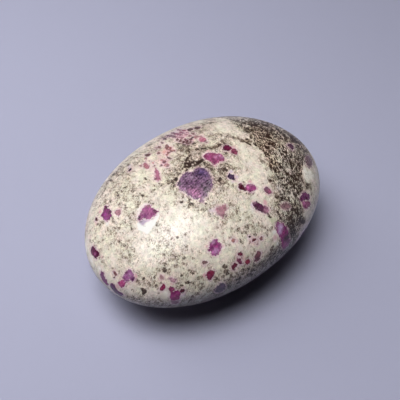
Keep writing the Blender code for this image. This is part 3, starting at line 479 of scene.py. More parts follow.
    (233.5, 249.5, 233.5, 249.5, 0.8, 0.26), (249.7, 242.5, 249.7, 242.5, 0.9, 0.48), (248, 257.5, 248, 257.5, 1, 0.42), (228.5, 262.5, 228.5, 262.5, 0.8, 0.36), (201.5, 288.5, 201.5, 288.5, 1.2, 0.42), (222, 276, 224, 277, 1, 0.35),
    (231, 273, 231, 275.5, 0.9, 0.4), (236, 272.5, 238, 274.5, 1, 0.35), (218.5, 273.5, 219.5, 273.5, 0.9, 0.3), (254, 265, 257, 266.5, 1.5, 0.5), (252, 270, 256, 269.5, 1.6, 0.45), (260, 264, 263, 262, 1.6, 0.45),
    (266, 256, 268, 253, 1.5, 0.42), (271, 249, 273, 246.5, 1.3, 0.4), (262, 251, 262, 252.5, 1, 0.4), (254, 249, 255, 251, 0.9, 0.35), (244, 248, 245, 247, 0.8, 0.24), (208, 291, 213, 290.5, 1.6, 0.35),
    # the band, near the top
    (243, 123, 248, 124.5, 1.3, 0.55), (251, 121, 256, 122.5, 1.3, 0.7), (250, 125, 256, 126, 1.7, 0.65), (257, 124.5, 266, 125.5, 1.6, 0.6), (241.5, 119.5, 242.5, 119.7, 1, 0.5), (248.5, 119.5, 248.5, 119.5, 0.8, 0.5),
    (240, 125, 240.5, 125, 0.9, 0.5), (234, 123.5, 234, 123.5, 0.9, 0.4), (237.5, 126.5, 237.5, 126.5, 1, 0.4), (239, 122, 237, 124.5, 0.8, 0.35), (244.5, 129.5, 244.5, 129.5, 1.2, 0.5), (246.5, 130.5, 247.5, 132, 1.5, 0.65),
    (248, 133, 248, 133, 1.2, 0.5), (252, 130, 252, 131, 1.3, 0.6), (253.5, 134.3, 253.5, 134.3, 0.9, 0.75), (257, 132.5, 259, 135.5, 1.2, 0.7), (250.5, 136, 251, 138.5, 1, 0.55), (259.5, 138, 259.5, 138, 1, 0.5),
    (261.5, 128.5, 261.5, 128.5, 1, 0.5), (263, 134, 263, 134, 1.3, 0.5), (267, 130, 268, 137, 1.8, 0.65), (270, 137.5, 270, 137.5, 1.6, 0.65), (241, 141.5, 247, 141, 1.5, 0.55), (246, 140, 247.5, 139.3, 1.1, 0.7),
    (245.5, 142, 250, 144.5, 1, 0.6), (254, 143, 256, 145.5, 1, 0.6), (263.5, 144, 265, 147, 1.2, 0.65), (267, 147, 268, 148, 1.6, 0.75), (269, 143, 269.8, 144, 1.2, 0.7), (260, 149, 266, 155, 0.9, 0.35),
    (267.5, 154, 267.5, 156.5, 1.1, 0.55), (261.5, 154.5, 261.5, 154.5, 0.9, 0.42), (259.5, 158.3, 259.5, 158.3, 1.2, 0.3), (262, 161, 263, 162.5, 2, 0.34), (266, 169.5, 266, 169.5, 1.4, 0.26), (268, 179, 270.5, 181, 0.9, 0.55),
    (249, 127.5, 247, 129, 0.9, 0.45), (254, 128, 256, 130.5, 0.9, 0.45), (259, 129.5, 262, 131, 0.9, 0.45), (246, 134.5, 247, 136, 0.8, 0.3), (254.5, 138, 256, 140.5, 0.8, 0.35), (258, 141.5, 261, 144, 1, 0.45),
    (264, 139, 266, 142, 0.9, 0.45), (271, 133, 270, 134.5, 1, 0.5), (224, 142.5, 226, 145, 1.2, 0.5), (222.5, 139.5, 222.5, 139.5, 1.1, 0.46), (233, 137, 235, 139, 1.1, 0.55), (228, 135, 232, 136, 1.2, 0.34),
    (238, 137, 238.5, 137, 1, 0.4), (219, 144, 218, 147, 1, 0.5), (213, 135.5, 213, 135.5, 1.3, 0.32), (216.5, 136, 216.5, 136, 1, 0.5), (218, 131, 218, 131, 1, 0.26), (226.3, 153, 226.3, 153, 1.2, 0.46),
    (228.5, 152.5, 228.5, 152.5, 0.8, 0.42), (232.7, 155.3, 234, 156.5, 1.3, 0.36), (230.5, 156.5, 230.5, 156.5, 0.9, 0.36), (202, 123.5, 203, 124.5, 1, 0.3), (204, 121.5, 207, 121.3, 0.8, 0.42), (209, 122.3, 214, 122.6, 0.8, 0.42),
    (244.3, 181.8, 244.3, 181.8, 1, 0.4), (246.3, 162, 246.3, 162, 1.1, 0.24), (252.5, 180, 253, 181, 1.1, 0.24), (222, 137, 221, 134.5, 0.8, 0.25), (209, 137, 211, 134, 1, 0.26), (208, 141, 210, 143, 0.8, 0.2),
    # the band, outer part
    (268.5, 125.5, 268.5, 125.5, 1, 0.6), (271, 128, 274, 130.5, 1.4, 0.55), (276.5, 129, 282, 133.5, 1.1, 0.7), (280, 127.5, 283, 129, 0.9, 0.5), (284.5, 134, 285.5, 139, 1.5, 0.65), (287.5, 134.3, 288.7, 134.7, 1.1, 0.7),
    (290, 135, 292, 139, 1.6, 0.55), (292, 141, 297, 142, 1.8, 0.8), (295, 139, 295, 140, 1.2, 0.7), (298.5, 143.7, 301, 143, 1, 0.75), (297.5, 146, 298.5, 150, 1.6, 0.42), (302, 147, 304, 152, 1.4, 0.45),
    (304.5, 153.5, 306, 157, 1.6, 0.6), (302.5, 156, 302.5, 159, 1, 0.65), (302, 160.5, 302, 163.5, 1.3, 0.7), (298.5, 165, 300, 164, 1.5, 0.65), (296.3, 161.3, 296.3, 161.3, 0.9, 0.65), (289.5, 160, 292, 168, 1.3, 0.6),
    (284.5, 156, 287, 160, 1.3, 0.65), (286.5, 162, 286.5, 163.5, 0.9, 0.6), (286.3, 151, 286.3, 152.5, 1.2, 0.6), (273, 134, 279, 134, 1.2, 0.55), (279.5, 164.5, 281.5, 167, 1.7, 0.65), (277.5, 168, 277.5, 168, 1.6, 0.5),
    (284.5, 168, 286, 171.5, 1.1, 0.55), (286.5, 172.5, 291, 176, 1, 0.6), (274, 168, 276, 171.5, 1.4, 0.75), (270.5, 165, 271, 167, 1.2, 0.55), (294, 175.5, 295.5, 179, 1.7, 0.75), (291, 176, 292.3, 177, 1.2, 0.65),
    (297, 175.2, 298.5, 176, 1.2, 0.6), (300, 174, 301.5, 173.5, 1, 0.55), (301, 181, 303, 181.8, 1.1, 0.55), (293, 181, 290, 184, 1.2, 0.65), (294, 187, 295.5, 188.5, 1.6, 0.65), (297, 185, 298.5, 185.8, 1.2, 0.6),
    (300.5, 186.5, 299, 190.5, 1.3, 0.65), (288.5, 192, 289.7, 192.8, 1.3, 0.65), (281.5, 178, 284, 177.5, 0.9, 0.5), (278, 178.5, 281, 180, 1, 0.5), (273.5, 181, 273.5, 181, 0.9, 0.42), (284, 188, 287, 188.5, 1, 0.5),
    (276, 194.3, 277, 194.8, 1.3, 0.42), (293.5, 193.5, 296, 196, 1.3, 0.65), (277.5, 136.5, 274.5, 137.5, 0.9, 0.4), (278, 149.5, 279.5, 150, 1.1, 0.5), (272, 153, 273, 153.5, 1, 0.42), (281, 152, 282, 153.5, 0.9, 0.5),
    (291, 154.5, 290.5, 157.5, 0.9, 0.5), (294, 157.5, 295, 155.5, 0.9, 0.42), (298.5, 157.5, 297.5, 159, 1, 0.55), (292, 162.5, 293, 163, 0.9, 0.42), (300, 152.5, 300.5, 154.5, 0.9, 0.45), (272, 159, 271.5, 162, 0.9, 0.45),
    (275, 143, 273, 146.5, 1.2, 0.42), (270, 151, 269, 153, 0.9, 0.42), (275.5, 163, 274.5, 165, 0.9, 0.38), (283, 160, 284, 163, 0.8, 0.38), (295.5, 169, 296.5, 167.5, 1.1, 0.5), (299.5, 168.5, 301, 167, 1.1, 0.55),
    (288, 179, 285.5, 181, 0.9, 0.45), (283, 184, 281.5, 187, 0.9, 0.42), (275, 184, 277, 186, 0.8, 0.35), (291, 187, 290, 189.5, 0.9, 0.5), (286.5, 184.5, 285, 185.5, 0.8, 0.45), (297, 180, 299, 178.5, 1.1, 0.55),
    (308, 166.5, 309, 167.5, 1.2, 0.6), (308.3, 175, 308.4, 178, 0.6, 0.4), (307, 184.5, 311, 183.8, 1.1, 0.5), (306.8, 187.5, 308, 188, 1.1, 0.55), (310, 186, 311, 189, 1.3, 0.42), (304, 178, 305.5, 180, 0.7, 0.3),
    # the band, low
    (267.5, 213, 268.7, 216, 1.2, 0.6), (268.7, 216, 270.7, 217.3, 0.9, 0.6), (273.5, 208.5, 274.5, 211.5, 1, 0.42), (272, 213.5, 272, 213.5, 0.8, 0.3), (278, 212, 279.3, 214.5, 1, 0.6), (279.5, 215, 280.5, 218.5, 0.9, 0.7),
    (278.7, 204.5, 278.7, 204.5, 1.1, 0.75), (278.5, 206.8, 279, 208.5, 1.1, 0.46), (278.5, 201.5, 277, 203, 0.9, 0.46), (276.2, 197.2, 277.3, 197.8, 1, 0.6), (274.5, 196.3, 274.5, 196.3, 0.8, 0.45), (279.5, 197, 281, 198.5, 0.8, 0.5),
    (281.5, 199.5, 284, 199, 1.2, 0.65), (284.5, 192, 285, 194, 1, 0.45), (292, 190.5, 295, 194.5, 1.2, 0.6), (298, 191, 298.5, 193, 0.8, 0.45), (289, 199.5, 290, 200.5, 1, 0.5), (285.5, 197, 286.5, 197, 0.9, 0.45),
    (295, 203, 296, 206, 1.2, 0.5), (296.5, 207.5, 296.5, 209, 0.9, 0.65), (292, 209.5, 297, 210.5, 1.5, 0.75), (296, 212, 298, 214, 1.4, 0.75), (300.5, 214.5, 300.5, 214.5, 0.9, 0.55), (302, 212, 302, 212, 1, 0.42),
    (288.5, 205, 291, 204, 1.2, 0.4), (283.5, 208, 285, 207, 1.2, 0.4), (287, 202, 288, 204, 1, 0.4), (282.5, 213.5, 282.5, 213.5, 1.8, 0.3), (287, 216, 288.5, 219, 1.5, 0.58), (291, 216.5, 292.5, 223, 1.1, 0.75),
    (287.5, 223, 289, 223.3, 1, 0.58), (285.5, 222, 286.5, 222, 0.9, 0.5), (294.5, 221, 294.5, 221, 0.9, 0.58), (300, 220, 304, 222, 1.9, 0.7), (296.5, 223.7, 298, 224.3, 1.3, 0.62), (300, 225, 300, 225, 1, 0.6),
    (293, 226, 295, 229, 1.8, 0.58), (289, 226, 290, 229, 1.3, 0.58), (289.5, 232, 294, 234, 2.2, 0.62), (290, 237, 288.5, 243, 2.2, 0.6), (277, 223, 278.5, 221.5, 1.3, 0.6), (281.5, 222, 281.5, 222, 0.8, 0.45),
    (250.5, 224.5, 250.5, 224.5, 0.9, 0.5), (253, 222.5, 253, 222.5, 0.7, 0.34), (246, 227, 248, 226.5, 1, 0.38), (253, 227, 253, 227, 0.8, 0.34), (260, 223.5, 262, 226.5, 1.1, 0.4), (263.2, 227.3, 265, 227.8, 1, 0.5),
    (254.8, 234.5, 256, 234.8, 1.1, 0.5), (267, 234.3, 267, 235.8, 1, 0.5), (270.5, 241, 272.5, 239.5, 1.3, 0.42), (270, 230, 271.5, 227, 1.3, 0.32), (266, 232.5, 268, 230, 1, 0.28), (262.3, 218, 262.3, 218, 0.8, 0.28),
    (247, 193.3, 247, 193.3, 0.9, 0.42), (249, 193.7, 250, 193.3, 0.9, 0.55), (252.3, 193.8, 253.3, 193.8, 1, 0.55), (246, 219, 246, 219, 1.3, 0.36), (258.5, 225, 258.5, 225, 0.7, 0.34), (287, 211, 288.5, 213, 0.9, 0.42),
    (293, 198, 294.5, 200.5, 0.9, 0.42), (299.5, 199, 299.5, 203, 0.9, 0.5), (302, 217, 303.5, 218.5, 1.2, 0.55), (297, 217, 297.5, 220, 0.8, 0.5), (283, 194.5, 282, 196, 0.8, 0.42), (290.5, 196.5, 289, 198, 0.8, 0.4),
    # the brown stripe above the clean albite
    (213.5, 147.5, 217, 143.8, 1.5, 0.34), (217, 143.8, 222, 139.8, 1.5, 0.3), (222, 139.8, 228, 135.8, 1.5, 0.30), (228, 135.8, 234, 138, 1.8, 0.5), (234, 138, 242, 140, 1.8, 0.45), (242, 140, 249, 140.3, 1.5, 0.3), (249, 140.3, 256, 141, 1.5, 0.3), (256, 141, 262, 146, 1.5, 0.3),
]

for x, y, r, amount in FLECKS:
    at = drop((x, y))[0]
    fleck = fleck + amount * np.exp(-((np.linalg.norm(skin - at, axis=1) / (r * PX)) ** 2))
# Painted shade: the side of the rim that is turned down towards the camera, away from the light, is darkened with extra
# mica flecks.
rim_turn = (np.degrees(np.arctan2(skin[:, 1] - centre[1], skin[:, 0] - centre[0])) + 41.164) % 360.0
painted_shade_low_rim = ease(212.0, 250.0, rim_turn) * ease(352.0, 325.0, rim_turn) * ease(16.0, 11.5, skin[:, 2]) * ease(2.0, 7.0, skin[:, 2])
fleck = fleck + 0.24 * painted_shade_low_rim
# Painted shade on that edge: a mask that grows as the skin turns away from the camera darkens the albite colour there
# and adds more flecks.
painted_shade_turn_mask = ease(228.0, 262.0, rim_turn) * ease(346.0, 322.0, rim_turn)
painted_rim_shade = painted_shade_turn_mask * ease(0.78, 0.46, facing) * ease(-0.6, -0.1, facing)
fleck = fleck + 0.20 * painted_shade_turn_mask * ease(0.80, 0.52, facing) * ease(-0.6, -0.1, facing)
fleck = np.clip(fleck, 0.0, 1.2)

mark = np.full(len(skin), 9.0)
mark_amount = np.zeros(len(skin))
ends = drop([(m[0], m[1]) for m in MARKS] + [(m[2], m[3]) for m in MARKS])
for k, (x0, y0, x1, y1, r, amount) in enumerate(MARKS):
    dist = capsule(ends[k], ends[k + len(MARKS)]) - (r * PX + 0.05)
    nearer = dist < mark
    mark[nearer] = dist[nearer]
    mark_amount[nearer] = amount
mark_amount *= np.where(mark_amount > 0.57, 1.0, 0.64 + 0.46 * band)

# ------------------------------------------------------------- ruby crystals

# Outline in the picture, main colour, and spots of other colour inside it.
# "soft" is the width of the edge in millimetres, "full" how solid the crystal is.
RUBIES = [
    dict(at=[(104, 209.5), (104.5, 206.5), (107, 205.5), (108.5, 208.5), (111.5, 210.5), (112, 215), (110.5, 218), (109, 220.5), (106, 221), (103.5, 219), (102, 216.5), (101.5, 215), (102.5, 213), (104, 212)],
         tone=(108, 23, 86), spots=[(106.5, 207.5, 1.8, (61, 31, 27)), (105.5, 214.5, 2, (137, 30, 118)), (110.3, 212, 1.8, (79, 18, 61)), (106, 219.3, 1.8, (133, 54, 122)), (102.8, 214, 1, (115, 32, 96)), (109.5, 217, 1.4, (108, 18, 85))]),
    dict(at=[(115, 212.5), (116.5, 210), (119.5, 210), (121, 211.5), (120.5, 214), (119, 216), (117, 215.5), (115.5, 214)],
         tone=(141, 84, 101), spots=[], full=0.85),
    dict(at=[(95, 220.5), (95.5, 217.5), (97, 218), (98, 220), (97, 221)], tone=(68, 25, 23), spots=[]),
    dict(at=[(138.5, 220), (138, 218), (139.5, 214.5), (141.5, 210.5), (144, 207.5), (147, 205), (150.5, 204.5), (151, 206.5), (152.5, 209), (155.5, 210), (158.5, 211), (156.5, 213.5), (153.5, 216.5), (151, 218.5), (147, 219), (143.5, 218.5), (141, 219.5)],
         tone=(152, 78, 125), spots=[(148, 211, 2.6, (160, 79, 130)), (145, 216, 2.4, (108, 43, 96)), (139.2, 217.5, 1.8, (67, 47, 62)), (148.5, 206, 1.6, (130, 95, 96)), (154, 210.8, 1.7, (92, 44, 73)), (152, 214.5, 1.8, (126, 49, 102)), (142.5, 212.5, 1.5, (145, 95, 123)), (156.5, 212, 1.2, (113, 55, 84))], mottle=0.5),
    dict(at=[(216, 208), (219, 206.5), (222, 205.5), (225, 205), (227, 207), (226, 210), (224, 212), (226, 214.5), (223, 217.5), (219, 215), (216.5, 213), (215.5, 210)],
         tone=(158, 100, 116), spots=[(224.5, 208.3, 1.7, (96, 42, 58)), (217.2, 209, 1.2, (118, 64, 80)), (220, 209.5, 1.1, (112, 58, 74)), (223.7, 216, 1.7, (89, 50, 64)), (219, 214.5, 1.3, (112, 68, 84)), (226, 211.5, 1.1, (122, 66, 84))], full=0.80, soft=0.24),
    dict(at=[(231, 241), (231.5, 238.5), (233.5, 237.5), (235, 239.5), (234.5, 242), (232.5, 242.5)], tone=(156, 95, 91), spots=[], full=0.9),
    dict(at=[(214, 239.5), (216.5, 239.3), (218, 241.5), (220.5, 244), (221.3, 247), (220.5, 250), (219, 253), (216.5, 256), (213.5, 255.5), (211, 253.5), (210, 251.5), (207.5, 251.5), (208.5, 249), (209.3, 246), (210, 243), (212, 241)],
         tone=(138, 55, 112), spots=[(213, 242, 2, (165, 121, 156)), (216.5, 246.5, 1.9, (155, 37, 114)), (212.5, 248, 1.6, (94, 26, 74)), (219, 246, 1.3, (101, 35, 84)), (221.2, 247, 1.0, (176, 124, 156)), (215.5, 244.3, 1.2, (98, 31, 78)), (216, 251, 2.6, (201, 141, 191)), (212.5, 253, 1.6, (174, 105, 155)), (209, 250, 1.4, (130, 60, 108))], mottle=0.45),
    dict(at=[(252.6, 202.4), (254, 201.4), (256.5, 201.6), (259.5, 202.8), (262, 204.4), (263.6, 206.5), (264.5, 210), (264, 212.3), (261.5, 211.8), (258.5, 210.5), (256, 209), (254, 206.5), (252.6, 204)],
         tone=(78, 27, 60), spots=[(254, 201.6, 1.9, (160, 126, 142)), (259.5, 204.3, 1.3, (91, 36, 71)), (261, 209.5, 1.8, (66, 19, 50)), (256, 206.5, 1.3, (66, 24, 50))], soft=0.09),
    dict(at=[(263.6, 206), (266, 206.2), (268, 207.8), (268.8, 210), (268, 212.5), (265.5, 213.6), (263, 212.7), (263.2, 209)],
         tone=(154, 106, 126), spots=[(264.5, 212, 1.5, (101, 58, 75)), (266.8, 206.5, 1.4, (175, 134, 147)), (264.6, 208, 1.0, (128, 62, 98))]),
    dict(at=[(276, 222.5), (279, 222.5), (283, 223.5), (287, 227.5), (288, 231), (289, 236), (290, 241), (288, 246), (284, 249.5), (281, 246), (281.5, 243), (280.8, 240), (279.6, 237), (277.8, 234.5), (276.2, 230), (276, 226)],
         tone=(130, 49, 105), spots=[(280.5, 227, 3, (192, 164, 198)), (280, 232, 2.2, (191, 160, 198)), (276.5, 228.3, 1, (90, 64, 81)), (283.3, 232.3, 1.5, (172, 69, 134)), (286, 230, 1.6, (119, 67, 99)), (285.5, 238.5, 2.8, (70, 12, 52)), (288, 236.5, 2.8, (44, 12, 34)), (286, 245, 2.4, (142, 35, 112)), (282, 243, 1.4, (154, 39, 112)), (288.5, 241, 1.4, (76, 24, 54))]),
    dict(at=[(248, 237), (249, 235.7), (250.7, 236.5), (250, 238.3), (248.5, 238.5)], tone=(56, 18, 26), spots=[]),
    dict(at=[(252, 241.5), (252.3, 239.5), (254, 238.3), (256, 238.5), (256, 240), (254, 241.5)], tone=(91, 32, 39), spots=[]),
    dict(at=[(259.5, 239), (260.5, 236.8), (262.5, 237), (262.5, 239.5), (261, 240.5)], tone=(128, 83, 85), spots=[]),
    dict(at=[(92.5, 246), (94, 246.5), (96, 249), (98, 251), (99, 253.5), (98.5, 255.5), (97, 257), (96, 258.5), (94.5, 258), (93, 255.5), (91.5, 253.5), (90.7, 251), (91, 248.5)],
         tone=(84, 10, 52), spots=[(95, 254, 1.5, (150, 73, 120)), (97.7, 253.5, 1.3, (65, 8, 42))]),
    dict(at=[(128.5, 269), (130, 270), (132, 272), (133.3, 275), (134.3, 278), (134.5, 280), (132, 281.2), (129.8, 280), (129, 279.2), (127, 282), (125, 281.5), (123.5, 279), (122.5, 277), (124, 275), (125.3, 272.5)],
         tone=(144, 89, 133), spots=[(126.3, 272.7, 1.4, (95, 47, 79)), (124, 278.5, 1.3, (91, 39, 73)), (132.5, 279, 1.4, (79, 38, 70)), (130, 275.5, 1.5, (167, 128, 158)), (128.2, 280.3, 1.1, (172, 123, 158)), (127, 277, 1.2, (134, 72, 117))]),
    dict(at=[(118, 283), (119.5, 281.5), (121.5, 280.5), (123.5, 279.5), (125.5, 281.5), (125.5, 284), (124, 286.5), (122, 287.5), (120, 286), (118.5, 284.5)],
         tone=(172, 74, 124), spots=[(121.5, 283.2, 1.2, (184, 67, 122)), (123.5, 285.7, 1.2, (145, 47, 100)), (119.4, 282.7, 1, (100, 44, 69)), (124.5, 281.8, 1, (186, 122, 161))]),
    dict(at=[(113, 272), (114.5, 271), (116.5, 273), (117, 275), (115.5, 276), (114.5, 274.5)], tone=(104, 53, 52), spots=[], full=0.9),
    dict(at=[(113.5, 277), (114.5, 276.6), (115.2, 277.5), (114.6, 278.5), (113.6, 278.2)], tone=(79, 39, 43), spots=[]),
    dict(at=[(101, 271), (103.5, 272), (105, 277), (107, 281), (108.5, 284.5), (106.5, 285), (104, 282.5), (102, 279.5), (100.5, 275)],
         tone=(113, 49, 95), spots=[]),
    dict(at=[(110.5, 284), (112.5, 283.5), (114.5, 285), (116.5, 289), (119, 291.5), (122, 293), (124.5, 294.5), (121, 296), (117, 294), (113, 290), (110.5, 286.5)],
         tone=(78, 17, 70), spots=[]),
    dict(at=[(159.5, 290.5), (160, 288), (162, 285.5), (164, 283.7), (165.7, 285), (165.5, 287), (164, 289.5), (161.5, 290.8)], tone=(137, 41, 77), spots=[]),
    dict(at=[(159, 275.5), (161, 275), (163.5, 276.5), (164, 279), (161.5, 279), (159.7, 277.5)], tone=(134, 84, 94), spots=[], full=0.7, soft=0.25),
    dict(at=[(169, 279), (171, 277.5), (175, 279), (175.5, 281.5), (173, 282.5), (171, 281.5)], tone=(167, 121, 139), spots=[], full=0.8),
    dict(at=[(169, 288), (170, 287), (173.5, 287), (174.3, 289), (173.5, 291.5), (171, 292.5), (169.2, 291)],
         tone=(124, 44, 82), spots=[(173, 288.5, 1.4, (150, 70, 107))]),
    dict(at=[(171, 292.8), (173.5, 292), (175.5, 291), (178, 290.8), (180, 292), (180, 295), (179.5, 298.5), (177, 300), (174, 300.5), (171.5, 299.5), (170, 297.5), (170, 295)],
         tone=(140, 34, 100), spots=[(174, 293, 1.8, (113, 7, 77)), (175, 299, 2.0, (111, 20, 80))]),
    dict(at=[(171, 300.2), (175, 301), (178.5, 299.8), (179, 302.5), (176, 304), (172, 303.5)], tone=(118, 60, 101), spots=[], full=0.7, soft=0.25),
    dict(at=[(180.5, 291), (181.5, 289), (183.5, 288.3), (185, 290), (184.5, 292.5), (182, 293), (180.5, 292.3)], tone=(70, 8, 25), spots=[]),
    dict(at=[(206, 275), (207, 272.5), (209, 271), (211.5, 270.5), (215, 271.2), (214.5, 273.5), (213.5, 275.5), (212, 277.5), (211.5, 280), (209.5, 280.3), (207.5, 278)],
         tone=(116, 43, 70), spots=[(212, 273, 1.8, (125, 40, 65))]),
    dict(at=[(202, 262.5), (203.5, 261), (206, 261), (207.3, 262.5), (205.5, 264), (204.5, 265.5), (203.3, 264)], tone=(106, 70, 72), spots=[], full=0.9),
    dict(at=[(237.3, 255), (238, 253), (239.5, 251.8), (241.5, 252.5), (243, 254.8), (241.5, 256), (240, 255), (238.5, 255.3)], tone=(97, 27, 49), spots=[]),
    dict(at=[(237, 260), (238.5, 258), (240.5, 259), (241.3, 261.5), (242.5, 263.5), (240.5, 264), (238.5, 262.5)],
         tone=(121, 60, 85), spots=[(238, 257.5, 1.0, (183, 114, 150))]),
    dict(at=[(245, 262.5), (246, 259.5), (248.5, 258.7), (250, 260), (249.7, 262.5), (248, 264.3), (246, 264)], tone=(143, 51, 72), spots=[]),
    dict(at=[(231.5, 266), (233, 264), (235, 262.5), (237.5, 264.5), (237, 266.5), (235, 267.5), (233.5, 269.5), (232, 268.5)], tone=(112, 46, 65), spots=[]),
    dict(at=[(254.6, 261.2), (254.8, 257), (256, 253.4), (258.2, 250.8), (260.6, 250.8), (261, 253.6), (260, 257.6), (258.4, 261), (256.4, 262)], tone=(104, 50, 66), spots=[(257, 258.5, 1.6, (66, 32, 50)), (259.4, 253, 1.2, (128, 70, 84))], full=0.92),
    dict(at=[(214.6, 289.6), (217.4, 286), (220.6, 283.6), (223.6, 283.2), (225.6, 285.6), (225.4, 288.6), (222.4, 291.4), (218, 292.6), (215, 292)], tone=(46, 30, 62), spots=[(223, 286, 1.6, (84, 60, 96)), (217.5, 290, 1.6, (34, 24, 50))], full=0.9, soft=0.16),
    dict(at=[(128.3, 171), (129.2, 169.5), (131, 168), (132, 168.3), (131.3, 169.8), (129.5, 171.2)], tone=(40, 20, 40), spots=[]),
    dict(at=[(144.5, 154.5), (147, 154), (149, 153.3), (150.7, 154.3), (149, 156), (147, 157.3), (145.3, 156)], tone=(88, 57, 61), spots=[], full=0.9),
    dict(at=[(143.5, 165.5), (144, 163), (145.5, 162.3), (147, 164), (149.5, 166.3), (149, 168.5), (147, 168.8), (144.5, 167.8)], tone=(164, 100, 113), spots=[], full=0.9),
    dict(at=[(154.5, 169), (156, 168.3), (157.5, 170), (159, 173), (160, 177), (160.5, 180), (158, 181), (155, 180.5), (153.8, 179), (155.5, 177.5), (155.5, 173), (154.5, 171)],
         tone=(172, 108, 130), spots=[(155.5, 179, 1.3, (95, 65, 70))]),
    dict(at=[(196, 168.5), (199.5, 167.8), (203, 168.3), (206, 169.3), (208.3, 171), (209.2, 173.5), (210.5, 176), (211.3, 178.5), (212.2, 182), (212.8, 185), (211.8, 188.5), (210, 191), (207.5, 193.5), (206.5, 196), (204, 199), (202.5, 202), (200.5, 201), (199.5, 198.5), (197, 200), (193, 198.5), (190.5, 196.5), (187.5, 194.5), (184.5, 192.5), (181.5, 190.5), (179.5, 187.8), (177.3, 185.5), (178, 182.5), (180, 180), (181, 177), (182, 174.8), (184.5, 173), (187.5, 172), (191, 172), (194, 170.5)],
         tone=(113, 85, 109), spots=[(202, 172.3, 4.6, (77, 59, 96)), (196.5, 174, 2.2, (67, 48, 78)), (206.5, 175.5, 2.2, (90, 69, 100)), (187, 182.5, 2.2, (74, 47, 73)), (192, 183, 2.2, (78, 50, 77)), (198, 182.5, 2.2, (75, 48, 75)), (182.5, 188.3, 3, (146, 107, 137)), (195.5, 193, 4.6, (163, 108, 142)), (190, 190, 2.8, (136, 90, 119)), (206.8, 189.5, 4.6, (105, 92, 101)), (179.7, 184, 2, (109, 95, 105)), (187, 176.5, 2.2, (113, 92, 111)), (205, 179.5, 2.2, (100, 76, 102)), (201, 198.5, 1.6, (110, 62, 82)), (192, 177.5, 1.5, (139, 117, 136)), (203, 184, 1.6, (128, 103, 124)), (209.5, 182, 1.8, (115, 104, 115)), (184, 180, 1.4, (97, 71, 93)), (194.5, 187, 1.5, (109, 74, 100)), (200.5, 189.5, 1.7, (132, 95, 120)), (200.5, 178, 1.5, (83, 60, 90)), (187.5, 186.3, 1.2, (100, 69, 95)), (198.3, 195.5, 1.3, (181, 130, 156)), (184, 192, 2.4, (150, 128, 142)), (208.5, 192.5, 2.4, (140, 128, 134)), (204, 198, 2.2, (150, 130, 142))], mottle=1.1, soft=0.20),
    dict(at=[(203.8, 156), (205.5, 153.3), (208.5, 153), (211.5, 152.7), (214.5, 153), (217, 154), (219.5, 154), (221.5, 154.8), (223, 156.5), (224.7, 158), (224, 160.5), (221.5, 161.8), (219, 161), (217.5, 162.5), (216, 164.5), (214.5, 165), (212.5, 163.5), (211, 161.5), (208.5, 160.5), (205.5, 159.3), (204, 158)],
         tone=(146, 74, 108), spots=[(205.5, 156, 2, (129, 54, 88)), (210, 157, 2, (148, 65, 113)), (215.5, 157, 1.7, (177, 123, 156)), (219.3, 155.5, 1.4, (182, 133, 166)), (222.3, 157.6, 1.5, (159, 116, 148)), (223.6, 159.3, 1, (95, 50, 77)), (213.3, 159.3, 1.3, (83, 40, 68)), (214, 162.8, 1.1, (79, 35, 64)), (218, 158.8, 1.5, (138, 78, 115)), (208, 154.3, 1.2, (167, 108, 142))]),
    dict(at=[(222.6, 148.8), (223.2, 146.4), (225.6, 144.9), (229, 145.4), (231.2, 147.2), (231.4, 149.8), (229, 150.6), (225.6, 150.9), (223, 150.4)], tone=(92, 28, 54), spots=[(229.6, 147.4, 1.2, (118, 44, 74)), (225, 149.4, 1.1, (74, 20, 42))]),
    dict(at=[(231.2, 149.9), (232.6, 148.4), (235.4, 149), (237.4, 151), (238.2, 153.2), (236.2, 154.6), (233, 153.9), (231, 152.4)],
         tone=(134, 67, 89), spots=[(233.3, 152.3, 1.0, (89, 35, 57))]),
    dict(at=[(227.5, 176), (229, 173.2), (231, 174.3), (233.7, 175), (234.2, 177), (235.5, 179.5), (235.7, 181), (233.5, 180.3), (231, 179.3), (228.8, 178.5), (227.3, 177.5)],
         tone=(64, 47, 71), spots=[(228.3, 176.7, 1, (40, 25, 45)), (234.8, 180, 1, (42, 26, 47)), (231.2, 175.6, 0.9, (87, 70, 97))]),
    dict(at=[(238.6, 184.6), (239.6, 183.4), (241.2, 183.4), (242.6, 184.6), (243.6, 186), (244.8, 187.6), (247, 188.4), (247, 190.2), (244.4, 190.6), (242, 189.8), (239.8, 189.4), (238.5, 187.2)],
         tone=(75, 29, 40), spots=[(241, 187, 1.6, (63, 13, 26)), (241, 183.4, 1.2, (132, 84, 94)), (246.2, 189.4, 1.1, (150, 78, 108))]),
    dict(at=[(245.8, 186.6), (246.8, 184.9), (249, 183.9), (252, 184), (254.8, 185.4), (256.2, 187.3), (255.4, 190), (252.6, 191.6), (249.6, 192.2), (247.2, 190.6), (246, 188.6)],
         tone=(151, 76, 120), spots=[(251.5, 184.4, 2.2, (182, 134, 156)), (248.3, 187.4, 1.3, (203, 110, 162)), (250.3, 190.4, 1.2, (80, 34, 70)), (253.4, 188, 1.6, (147, 64, 115)), (249.6, 189, 1.0, (149, 70, 119)), (252.2, 186.6, 1.0, (120, 52, 92))]),
    dict(at=[(264.2, 188.6), (265.4, 186.8), (267.8, 187.2), (269.8, 189), (271.8, 191.6), (270.8, 193.8), (268, 193.8), (265.8, 192.2), (264.6, 190.4)],
         tone=(125, 81, 98), spots=[(269.6, 192, 1.7, (172, 92, 124)), (266.2, 188.4, 1.4, (99, 75, 92))]),
    dict(at=[(287.3, 145.5), (289, 143.7), (291.5, 144), (293, 146), (293.8, 149.5), (292, 149.8), (290, 147.5)], tone=(86, 59, 76), spots=[]),
